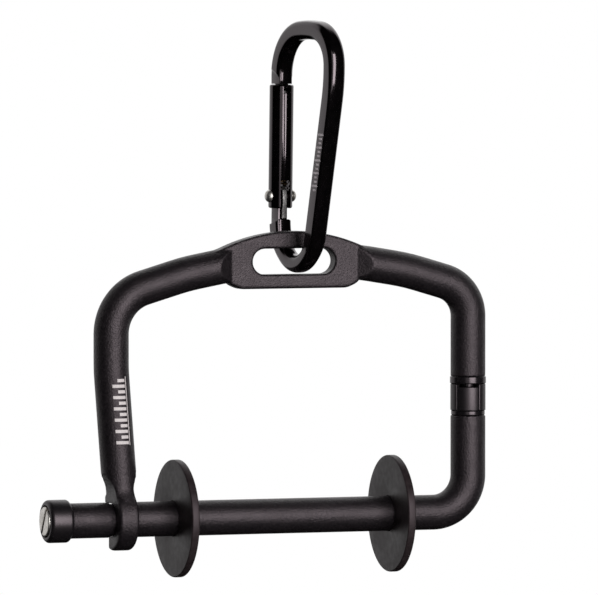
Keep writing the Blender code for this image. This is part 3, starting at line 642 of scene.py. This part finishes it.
def hook_shank():
    """The left leg's foot, milled flat on both sides and filleted into the hook's front.

    Each station is a height, the rod's radius, half its width between the flats, and how far its
    front is drawn out towards the hook.
    """
    stations = ((10.3, 3.35, 3.3, 1), (9.4, 3.48, 3.44, 1), (8.6, 3.49, 3.1, 1), (7.8, 3.49, 2.6, 1))
    stations += ((7.0, 3.49, 2.2, 1), (6.3, 3.49, 2.0, 1.02), (5.6, 3.49, 1.96, 1.08), (5.0, 3.49, 1.96, 1.17))
    stations += ((HOOK_SHANK_END_Z + 0.2, 3.49, 1.98, 1.28), (HOOK_SHANK_END_Z - 0.4, 3.49, 1.98, 1.37))
    rings = []
    for z, radius, half, front in stations:
        x = HOOK_X - (z - HOOK_SHANK_END_Z) * LEG_END_LEAN
        section = [(radius * cos(a), radius * sin(a)) for a in turn_angles(72)]
        rings.append([(x + min(max(a, -half), half), b * (front if b < 0 else 1), z) for a, b in section])
    return loft(rings)


def hook_ring():
    """The hook's round strap, trimmed at the back above the bar and at the lip below it."""
    half = HOOK_WIDTH / 2
    reach = HOOK_OUTER_RADIUS
    section = ring_profile(1.0, reach, -half, half, 0.7)
    ring = new_piece("hook", lathe(section, closed=True), along_x(FRAME, HOOK_X))
    lip = cube((HOOK_X - 5, HOOK_LIP_Y, -2 * reach), (HOOK_X + 5, 2 * reach, 0))
    back = cube((HOOK_X - 5, HOOK_BACK_Y, -1), (HOOK_X + 5, 2 * reach, 2 * reach))
    carved(ring, [(lip, FRAME, "DIFFERENCE"), (back, FRAME, "DIFFERENCE")])
    work = bmesh.new()
    work.from_mesh(ring.data)
    bpy.data.meshes.remove(ring.data)
    return work


def hook_mouth():
    far = 2 * HOOK_OUTER_RADIUS
    seat = arc((0.0, 0.0), HOOK_BORE_RADIUS, -90, -270, 40)
    return prism([(far, HOOK_BORE_RADIUS), (far, -HOOK_BORE_RADIUS)] + seat, HOOK_X - 5, HOOK_X + 5, "X")


def plate_slab():
    """The eyelet plate, its faces' edges rounded by insetting the outline near them."""
    outline = [Vector(p) for p in plate_outline()]
    count = len(outline)
    half = PLATE_THICKNESS / 2
    rings = []
    for y, inset in [(-half, 0.55), (-half + 0.07, 0.28), (-half + 0.22, 0.1), (-half + 0.5, 0.0)]:
        ring = []
        for i, here in enumerate(outline):
            along = (outline[(i + 1) % count] - outline[i - 1]).normalized()
            inner = here + Vector((-along.y, along.x)) * inset
            ring.append((inner.x, y, inner.y))
        rings.append(ring)
    rings += [[(x, -y, z) for x, y, z in ring] for ring in reversed(rings)]
    return loft(rings)


def build_upper_frame():
    piece = new_piece("frame_rod", loft(rod_rings(upper_path(), lambda p: ROD_RADIUS)), FRAME)
    identity = Matrix.Identity(4)
    carved(
        piece,
        [
            (ramp(-1), FRAME, "DIFFERENCE"),
            (ramp(1), FRAME, "DIFFERENCE"),
            (plate_slab(), FRAME, "UNION"),
            (slot_shape(), FRAME, "DIFFERENCE"),
            (hook_shank(), FRAME, "UNION"),
            (hook_ring(), identity, "UNION"),
            (hook_mouth(), FRAME, "DIFFERENCE"),
        ],
    )
    remeshed(piece, 0.18, 4)
    show(piece, "frame", BLASTED, "blasted_black", "upper_frame")


def leg_patch(low, high, start, end):
    """A thin printed patch round the left leg's front, angles in degrees from straight ahead."""
    rings = []
    for a in [start + (end - start) * i / 16 for i in range(17)]:
        c, s = sin(radians(a)), -cos(radians(a))
        ring = []
        for radius, z in ((3.4, low), (3.515, low), (3.515, high), (3.4, high)):
            x = -LEG_SPACING + (LEG_BEND_Z - z) * LEG_PRINT_LEAN
            ring.append((x + radius * c, radius * s, z))
        rings.append(ring)
    return loft(rings)


def build_leg_scale():
    """A plain scale of ticks with a line beside them, printed on the left leg."""
    patches = [leg_patch(15.0, 28.6, LEG_LINE_AT - 1.6, LEG_LINE_AT + 1.6)]
    for i in range(12):
        low = 15.2 + 1.12 * i
        reach = 42 if i % 2 == 0 else 24
        patches.append(leg_patch(low, low + 0.62, LEG_LINE_AT - 7 - reach, LEG_LINE_AT - 5))
    work = bmesh.new()
    for patch in patches:
        mesh = bpy.data.meshes.new("patch")
        patch.to_mesh(mesh)
        work.from_mesh(mesh)
        bpy.data.meshes.remove(mesh)
    show(new_piece("leg_scale", work, FRAME), "frame", WHITE_INK, None)


def sector(inner, outer, bottom, top, facing, half_angle, edge):
    """Part of a ring about the swivel's axis, every corner of it rounded."""
    section = ring_profile(inner, outer, bottom, top, edge)
    middle = ((inner + outer) / 2, (bottom + top) / 2)
    count = max(12, round(half_angle * 2 / radians(2)))
    ease = edge / outer
    stations = [(-half_angle, edge * 0.7), (-half_angle + ease * 0.3, edge * 0.3), (-half_angle + ease, 0.0)]
    stations += [(-half_angle + ease + 2 * (half_angle - ease) * i / count, 0.0) for i in range(1, count)]
    stations += [(-angle, inset) for angle, inset in reversed(stations[:3])]
    rings = []
    for angle, inset in stations:
        c, s = cos(facing + angle), sin(facing + angle)
        ring = []
        for radius, z in section:
            r = radius + max(-inset, min(inset, middle[0] - radius))
            h = z + max(-inset, min(inset, middle[1] - z))
            ring.append((r * c, r * s, h))
        rings.append(ring)
    return loft(rings)


def build_swivel():
    section = ring_profile(SPINDLE_BORE_RADIUS, COLLAR_RADIUS, COLLAR_BOTTOM_Z, COLLAR_TOP_Z, 0.2)
    collar = new_piece("collar", lathe(section, closed=True), FRAME)
    show(collar, "frame", POLISHED, "polished_black", "swivel_collar")
    sleeve = sector(
        SLEEVE_BORE_RADIUS,
        SLEEVE_RADIUS,
        SLEEVE_BOTTOM_Z,
        SLEEVE_TOP_Z,
        WINDOW_FACING + pi,
        pi - WINDOW_HALF_ANGLE,
        0.18,
    )
    show(new_piece("sleeve", sleeve, FRAME), "frame", SATIN, "satin_black", "swivel_sleeve")
    key = sector(KEY_INNER_RADIUS, KEY_RADIUS, KEY_BOTTOM_Z, KEY_TOP_Z, WINDOW_FACING, KEY_HALF_ANGLE, 0.16)
    show(new_piece("key", key, FRAME), "frame", SATIN, "satin_black", "swivel_key")
    section = ring_profile(SPINDLE_BORE_RADIUS, WASHER_RADIUS, WASHER_BOTTOM_Z, WASHER_TOP_Z, 0.15)
    washer = new_piece("washer", lathe(section, closed=True), FRAME)
    show(washer, "arm", POLISHED, "polished_black", "thrust_washer")


# ---------------------------------------------------------------- lower arm, cap, screw and discs


def ring_about(centre, along, radius, sides=72):
    side = Vector((-along.y, 0, along.x))
    middle = Vector((centre.x, 0, centre.y))
    return [middle + side * radius * cos(a) + Vector((0, radius * sin(a), 0)) for a in turn_angles(sides)]


def build_lower_arm():
    down = Vector((0, -1))
    left = Vector((-1, 0))
    well = [(SPINDLE_BORE_RADIUS, 14.0), (SPINDLE_BORE_RADIUS, ARM_TOP_Z - 0.1)]
    well.append((SPINDLE_BORE_RADIUS + 0.1, ARM_TOP_Z))
    stations = [(Vector((0, z)), down, r) for r, z in well]
    stations += [(Vector((0, z)), down, r) for r, z in arc((ROD_RADIUS - 0.3, ARM_TOP_Z - 0.3), 0.3, 90, 0)]
    path = filleted([(0.0, ARM_TOP_Z - 1.0), (0.0, 0.0), (-20.0, 0.0)], [CORNER_RADIUS])[:-1]
    for i, here in enumerate(path):
        along = (path[min(i + 1, len(path) - 1)] - path[max(i - 1, 0)]).normalized()
        stations.append((here, left if i == len(path) - 1 else along, ROD_RADIUS))
    bar = [(x, ROD_RADIUS) for x in (-20.0, -30.0, -40.0, -50.0, -60.0, -68.0)]
    step = ((0.12, ROD_RADIUS), (0.03, 3.46), (0.0, 3.38), (0.0, 3.25), (-0.05, NECK_RADIUS))
    bar += [(HOOK_X + NECK_LENGTH / 2 + outside, radius) for outside, radius in step]
    bar += [(HOOK_X - NECK_LENGTH / 2 - outside, radius) for outside, radius in reversed(step)]
    bar += [(BAR_END_X + 0.3, ROD_RADIUS), (BAR_END_X + 0.08, 3.42), (BAR_END_X, 3.25)]
    bar += [(BAR_END_X, SCREW_BORE_RADIUS), (BAR_END_X + 3.0, SCREW_BORE_RADIUS)]
    stations += [(Vector((x, 0)), left, radius) for x, radius in bar]
    rings = [ring_about(centre, along, radius) for centre, along, radius in stations]
    show(new_piece("arm_rod", loft(rings), FRAME), "arm", BLASTED, "blasted_black", "lower_arm")


def build_end():
    outward = FRAME @ Matrix.Translation((BAR_END_X - CAP_GAP, 0, 0)) @ Matrix.Rotation(-pi / 2, 4, "Y")
    floor = CAP_LENGTH - COUNTERBORE_DEPTH
    profile = [(SCREW_BORE_RADIUS, floor), (COUNTERBORE_RADIUS - 0.1, floor)]
    profile.append((COUNTERBORE_RADIUS, floor + 0.1))
    profile += arc((COUNTERBORE_RADIUS + 0.12, CAP_LENGTH - 0.12), 0.12, 180, 90, 3)
    profile += arc((CAP_RADIUS - CAP_CHAMFER, CAP_LENGTH - CAP_CHAMFER), CAP_CHAMFER, 82, 0, 9)
    profile += arc((CAP_RADIUS - CAP_CHAMFER * 0.8, CAP_CHAMFER * 0.8), CAP_CHAMFER * 0.8, 0, -82, 9)
    profile.append((SCREW_BORE_RADIUS, 0.0))
    cap = new_piece("bar_cap", lathe(profile, closed=True), outward)
    show(cap, "arm", SATIN, "satin_black", "end_cap")
    seat = floor + CAP_GAP
    top = seat + SCREW_HEAD_DEPTH
    head = [(0.0, top)] + arc((SCREW_HEAD_RADIUS - 0.3, top - 0.3), 0.3, 90, 0)
    head += [(SCREW_HEAD_RADIUS, seat), (0.0, seat)]
    screw = new_piece("cap_screw", lathe(head), outward)
    slot = cube(
        (-SCREW_SLOT_WIDTH / 2, -2 * SCREW_HEAD_RADIUS, top - SCREW_SLOT_DEPTH),
        (SCREW_SLOT_WIDTH / 2, 2 * SCREW_HEAD_RADIUS, top + 1),
    )
    turned = outward @ Matrix.Rotation(-SCREW_SLOT_TURN - pi / 2, 4, "Z")
    carved(screw, [(slot, turned, "DIFFERENCE")])
    eased(screw, 0.07)
    show(screw, "arm", NICKEL, "nickel", "end_screw")


def build_discs():
    section = ring_profile(ROD_RADIUS + 0.06, DISC_RADIUS, -DISC_HALF, DISC_HALF, 0.3, 0.12)
    for name, x, body in (("left", LEFT_DISC_X, "left_disc"), ("right", RIGHT_DISC_X, "right_disc")):
        disc = new_piece(f"disc_{name}", lathe(section, 160, closed=True), along_x(FRAME, x))
        show(disc, body, RUBBER, "black_rubber", f"spool_disc_{name}")


# ---------------------------------------------------------------- carabiner


def foot_point(angle):
    return Vector((FOOT_Y + FOOT_HALF_WIDTH * cos(angle), FOOT_CENTRE_Z + FOOT_HALF_HEIGHT * sin(angle)))


def spine_y(z):
    """Where the straight spine, which meets the foot's curve without a corner, is at a height."""
    reach = sqrt((FOOT_HALF_WIDTH * cos(SPINE_LEAN)) ** 2 + (FOOT_HALF_HEIGHT * sin(SPINE_LEAN)) ** 2)
    return FOOT_Y - (reach + (z - FOOT_CENTRE_Z) * sin(SPINE_LEAN)) / cos(SPINE_LEAN)


def body_path():
    """Centre line from the nose over the bow, down the spine and round the foot to the tang."""
    spine_top = BOW_Z - BOW_SPINE_DROP
    start = pi + atan(tan(SPINE_LEAN) * FOOT_HALF_HEIGHT / FOOT_HALF_WIDTH)
    gate_side = (NOSE_Y, BOW_Z - BOW_GATE_DROP)
    bend_y = spine_y(SPINE_BEND_Z)
    corners = [(NOSE_Y, NOSE_Z), gate_side, (0.0, BOW_Z)]
    corners += [(bend_y, spine_top), (bend_y, SPINE_BEND_Z), foot_point(start)]
    points = filleted(corners, [BOW_GATE_RADIUS, BOW_TOP_RADIUS, BOW_SPINE_RADIUS, SPINE_BEND_RADIUS])
    points += [foot_point(start + (2 * pi - start) * i / 72) for i in range(1, 73)]
    shoulder = HINGE_Z + TANG_SHOULDER
    points.append(Vector((FOOT_Y + FOOT_HALF_WIDTH - tan(GATE_LEAN) * (shoulder - FOOT_CENTRE_Z), shoulder)))
    return spaced(points, 1.5)


def blend(z, start, end, before, after):
    share = min(max((start - z) / (start - end), 0.0), 1.0)
    return before + (after - before) * share


def body_ring(here, along):
    """The body's section at a place on its path: square with round corners and slightly crowned faces."""
    size = blend(here.y, BOW_SECTION_FROM_Z, BOW_SECTION_TO_Z, BOW_SIZE, BODY_SIZE)
    edge = blend(here.y, BOW_SECTION_FROM_Z, BOW_SECTION_TO_Z, BOW_EDGE, BODY_EDGE)
    if here.y < FOOT_EDGE_FROM_Z:
        edge = blend(here.y, FOOT_EDGE_FROM_Z, FOOT_EDGE_TO_Z, BODY_EDGE, FOOT_EDGE)
    half = size / 2 - edge
    inward = Vector((along.y, -along.x))
    points = []
    for side_x, side_y, first in ((1, 1, 0), (-1, 1, 90), (-1, -1, 180), (1, -1, 270)):
        corner = arc((side_x * half, side_y * half), edge, first, first + 90, 8)
        between = [(side_x * half * share, side_y * (half + edge)) for share in (0.66, 0.33)]
        points += corner + between if first in (0, 180) else between[::-1] + corner
    ring = []
    for across, depth in points:
        depth *= 1 - BODY_CROWN * min(1.0, abs(across) / (size / 2)) ** 2 / (size / 2)
        ring.append((across, here.x + inward.x * depth, here.y + inward.y * depth))
    return ring


def shoulder_cutter(side, half, slope, inner, outer, far):
    """Mills one side of the body down to a flat. Its shoulder slopes in both directions."""
    reach = 2 * BODY_SIZE
    rings = []
    for across, rise in ((half, 0.0), (BODY_SIZE, (BODY_SIZE - half) * slope)):
        lift = rise if far < inner else -rise
        outline = [(reach, far), (-reach, far), (-reach, inner - (outer - inner) * 1.5 + lift)]
        outline += [(-BODY_SIZE / 2, inner + lift), (BODY_SIZE / 2, outer + lift), (reach, outer + lift)]
        rings.append([(side * across, y, z) for y, z in outline])
    return loft(rings)


def build_body():
    path = body_path()
    rings = []
    for i, here in enumerate(path):
        along = (path[min(i + 1, len(path) - 1)] - path[max(i - 1, 0)]).normalized()
        rings.append(body_ring(here, along))
    body = new_piece("clip_body", loft(rings), CARABINER)
    middle = (TANG_INNER + TANG_OUTER) / 2
    radius = (TANG_OUTER - TANG_INNER) / 2
    foot = TANG_SHOULDER_OUTER - 1.0
    tang = [(TANG_OUTER - 0.02, foot)] + arc((middle, -0.1), radius - 0.01, 0, 180, 24) + [(TANG_INNER, foot)]
    root = GATE_TOP + NECK_INNER - 0.4
    tip = GATE_TOP - TONGUE_REACH
    tongue = [(1.6, root), (-1.6, root), (-1.6, tip + 0.6), (-1.0, tip), (1.0, tip), (1.6, tip + 0.6)]
    shapes = []
    for side in (-1, 1):
        nose_ends = (GATE_TOP + NECK_INNER, GATE_TOP + NECK_OUTER, GATE_TOP - 3)
        nose = shoulder_cutter(side, NECK_HALF, NOSE_SLOPE, *nose_ends)
        tang_ends = (TANG_SHOULDER, TANG_SHOULDER_OUTER, TANG_SHOULDER + 4)
        shoulder = shoulder_cutter(side, TANG_HALF + 0.02, TANG_SLOPE, *tang_ends)
        shapes += [(nose, HINGE, "DIFFERENCE"), (shoulder, HINGE, "DIFFERENCE")]
    shapes.append((prism(tang, -TANG_HALF, TANG_HALF, "X"), HINGE, "UNION"))
    shapes.append((prism(tongue, -TONGUE_HALF, TONGUE_HALF, "X"), HINGE, "UNION"))
    carved(body, shapes)
    eased(body, 0.1, 2, radians(35))
    show(body, "carabiner", GLOSS, "gloss_black", "carabiner_body")


def build_spine_scale():
    """A row of plain ticks printed on the spine's side face."""
    work = bmesh.new()
    for i in range(14):
        z = -18.6 - 0.85 * i
        middle = spine_y(z)
        low, high = (-1.05, 1.05) if i % 3 == 0 else (-0.75, 0.35)
        lean = tan(SPINE_LEAN)
        outline = [(middle + low, z), (middle + high, z), (middle + high - lean * 0.42, z - 0.42)]
        outline.append((middle + low - lean * 0.42, z - 0.42))
        mesh = bpy.data.meshes.new("tick")
        prism(outline, -BODY_SIZE / 2 - 0.012, -BODY_SIZE / 2 + 0.1, "X").to_mesh(mesh)
        work.from_mesh(mesh)
        bpy.data.meshes.remove(mesh)
    show(new_piece("spine_scale", work, CARABINER), "carabiner", ENGRAVED, None)


def build_gate():
    gate = new_piece("clip_gate", lathe(solid_profile(GATE_RADIUS, GATE_BOTTOM, GATE_TOP, 0.35), 96), HINGE)
    reach = 2 * GATE_RADIUS
    hinge_slot = cube((-GATE_SLOT_HALF, -reach, GATE_BOTTOM - 1), (GATE_SLOT_HALF, reach, GATE_SLOT_TOP))
    nose_slot = cube(
        (-NOSE_SLOT_HALF, -reach, GATE_TOP - NOSE_SLOT_DEPTH),
        (NOSE_SLOT_HALF, reach, GATE_TOP + 1),
    )
    bore = lathe(solid_profile(GATE_BORE_RADIUS, LINK_TOP - 0.2, GATE_BORE_TOP, 0.1), 64)
    shapes = [(work, HINGE, "DIFFERENCE") for work in (hinge_slot, nose_slot, bore)]
    carved(gate, shapes)
    eased(gate, 0.12)
    show(gate, "gate", GLOSS, "gloss_black", "carabiner_gate")


def build_rivet():
    head = GATE_RADIUS + 0.05
    dome = RIVET_HALF_LENGTH - head
    turns = [radians(a) for a in range(0, 91, 9)]
    profile = [(RIVET_HEAD_RADIUS * sin(a), head + dome * cos(a)) for a in turns]
    profile += [(RIVET_RADIUS, head), (RIVET_RADIUS, -head)]
    profile += [(RIVET_HEAD_RADIUS * sin(a), -head - dome * cos(a)) for a in reversed(turns)]
    rivet = new_piece("clip_rivet", lathe(profile, 64), along_x(HINGE, 0))
    show(rivet, "carabiner", NICKEL, "nickel", "gate_rivet")


def build_link():
    pad = LINK_TOP - LINK_THICKNESS / 2
    centre = [(-1.45, TANG_SHOULDER + 0.25), (-1.75, -1.0), (-1.6, 1.2), (-0.9, pad), (0.8, pad)]
    line = spaced(filleted(centre, [6.0, 0.4, 0.4], radians(6)), 0.6)
    rings = []
    for i, here in enumerate(line):
        along = (line[min(i + 1, len(line) - 1)] - line[max(i - 1, 0)]).normalized()
        normal = Vector((along.y, -along.x))
        section = squircle(LINK_WIDTH / 2, LINK_THICKNESS / 2, 5, 32)
        rings.append([(x, here.x + normal.x * t, here.y + normal.y * t) for x, t in section])
    link = new_piece("clip_link", loft(rings), HINGE)
    show(link, "link", DARK_STEEL, "steel", "gate_link")


def build_spring():
    """The coil in the gate's bore, wound at an even pitch."""
    turns = 8
    bottom = LINK_TOP + 0.15 + SPRING_WIRE
    top = GATE_BORE_TOP - 0.3 - SPRING_WIRE
    count = turns * 28
    points = []
    for i in range(count + 1):
        angle = 2 * pi * i / 28
        height = bottom + (top - bottom) * i / count
        points.append(Vector((SPRING_RADIUS * cos(angle), SPRING_RADIUS * sin(angle), height)))
    rings = []
    for i, here in enumerate(points):
        outward = Vector((here.x, here.y, 0)).normalized()
        along = (points[min(i + 1, count)] - points[max(i - 1, 0)]).normalized()
        upward = along.cross(outward)
        rings.append([here + (outward * cos(a) + upward * sin(a)) * SPRING_WIRE for a in turn_angles(10)])
    spring = new_piece("clip_spring", loft(rings), HINGE)
    show(spring, "gate", BRONZE, "spring_bronze", "gate_spring")


def finish_hidden_nodes():
    """The swivel's inner parts keep their own shapes."""
    for name, body in (("swivel_spindle", "arm"), ("drag_ball", "frame"), ("drag_spring", "frame")):
        node = bpy.data.objects[name]
        node.data.materials.clear()
        node.data.materials.append(SATIN if name == "swivel_spindle" else STEEL)


build_upper_frame()
build_leg_scale()
build_swivel()
build_lower_arm()
build_end()
build_discs()
build_body()
build_spine_scale()
build_gate()
build_rivet()
build_link()
build_spring()
finish_hidden_nodes()

# ---------------------------------------------------------------- camera, light, floor

CAMERA_AZIMUTH = radians(-20.5)
CAMERA_ELEVATION = radians(2.5)
CAMERA_DISTANCE = 2.0
AIM = FRAME @ Vector((-36.19, 0.0, 43.53))


def build_camera():
    data = bpy.data.cameras.new("camera")
    data.lens = 604.0
    data.sensor_width = 36.0
    data.clip_start = 0.05
    data.clip_end = 50.0
    camera = bpy.data.objects.new("camera", data)
    back = Vector((
        sin(CAMERA_AZIMUTH) * cos(CAMERA_ELEVATION),
        -cos(CAMERA_AZIMUTH) * cos(CAMERA_ELEVATION),
        sin(CAMERA_ELEVATION),
    ))
    camera.location = AIM + back * CAMERA_DISTANCE
    camera.rotation_mode = "QUATERNION"
    camera.rotation_quaternion = (-back).to_track_quat("-Z", "Y")
    bpy.context.scene.collection.objects.link(camera)
    bpy.context.scene.camera = camera


def ramp_node(tree, source, low, high):
    """A smooth step up from nought to one as the source goes from low to high."""
    step = tree.nodes.new("ShaderNodeMapRange")
    step.interpolation_type = "SMOOTHSTEP"
    step.inputs["From Min"].default_value = low
    step.inputs["From Max"].default_value = high
    tree.links.new(source, step.inputs["Value"])
    return step.outputs["Result"]


def times(tree, first, second):
    product = tree.nodes.new("ShaderNodeMath")
    product.operation = "MULTIPLY"
    tree.links.new(first, product.inputs[0])
    if isinstance(second, float):
        product.inputs[1].default_value = second
    else:
        tree.links.new(second, product.inputs[1])
    return product.outputs[0]


def build_world():
    """A white studio wall behind the object, black elsewhere, and plain white to a camera."""
    world = bpy.data.worlds.new("studio")
    world.use_nodes = True
    tree = world.node_tree
    direction = tree.nodes.new("ShaderNodeTexCoord")
    turn = CAMERA_AZIMUTH + WALL_TURN
    facing = tree.nodes.new("ShaderNodeVectorMath")
    facing.operation = "DOT_PRODUCT"
    facing.inputs[1].default_value = (-sin(turn), cos(turn), 0.0)
    tree.links.new(direction.outputs["Generated"], facing.inputs[0])
    height = tree.nodes.new("ShaderNodeSeparateXYZ")
    tree.links.new(direction.outputs["Generated"], height.inputs[0])
    wall = ramp_node(tree, facing.outputs["Value"], WALL_EDGE_COSINE - 0.1, WALL_EDGE_COSINE + 0.1)
    wall = times(tree, wall, ramp_node(tree, height.outputs["Z"], *WALL_FOOT))
    wall = times(tree, wall, ramp_node(tree, height.outputs["Z"], *WALL_TOP))
    seen = tree.nodes.new("ShaderNodeLightPath")
    level = tree.nodes.new("ShaderNodeMix")
    level.inputs["B"].default_value = 1.0
    tree.links.new(seen.outputs["Is Camera Ray"], level.inputs["Factor"])
    tree.links.new(times(tree, wall, WALL_LEVEL), level.inputs["A"])
    background = tree.nodes["Background"]
    background.inputs["Color"].default_value = (1, 1, 1, 1)
    tree.links.new(level.outputs["Result"], background.inputs["Strength"])
    bpy.context.scene.world = world


def softbox(name, azimuth, elevation, width, height, level):
    """An area light that faces the object. Angles and sizes are in degrees, level is its brightness."""
    a = CAMERA_AZIMUTH + radians(azimuth)
    e = radians(elevation)
    back = Vector((sin(a) * cos(e), -cos(a) * cos(e), sin(e)))
    data = bpy.data.lights.new(name, "AREA")
    data.shape = "RECTANGLE"
    data.size = 2 * SOFTBOX_DISTANCE * tan(radians(width) / 2)
    data.size_y = 2 * SOFTBOX_DISTANCE * tan(radians(height) / 2)
    data.energy = level * pi * data.size * data.size_y
    light = bpy.data.objects.new(name, data)
    light.location = AIM + back * SOFTBOX_DISTANCE
    light.rotation_mode = "QUATERNION"
    light.rotation_quaternion = back.to_track_quat("Z", "Y")
    light.visible_camera = False
    bpy.context.scene.collection.objects.link(light)


def build_floor():
    work = bmesh.new()
    bmesh.ops.create_circle(work, cap_ends=True, segments=96, radius=FLOOR_RADIUS)
    mesh = bpy.data.meshes.new("floor")
    work.to_mesh(mesh)
    work.free()
    floor = bpy.data.objects.new("floor", mesh)
    floor.location = (AIM.x, AIM.y, FLOOR_Z)
    material = finish_nodes("pale_floor", (0.8, 0.8, 0.79), 0.7)[0]
    mesh.materials.append(material)
    floor.visible_glossy = False
    bpy.context.scene.collection.objects.link(floor)


WALL_EDGE_COSINE = 0.27
WALL_LEVEL = 0.75
WALL_TURN = radians(8)
WALL_FOOT = (-0.4, -0.15)
WALL_TOP = (0.95, 0.65)
SOFTBOX_DISTANCE = 1.2
FLOOR_RADIUS = 0.35
FLOOR_Z = -0.2

bpy.context.scene.view_settings.view_transform = "Standard"
build_floor()
softbox("key", 31, 8, 36, 42, 7.8)
softbox("front", 2, 8, 30, 50, 0.8)
softbox("back", 168, 35, 60, 50, 0.6)
build_camera()
build_world()
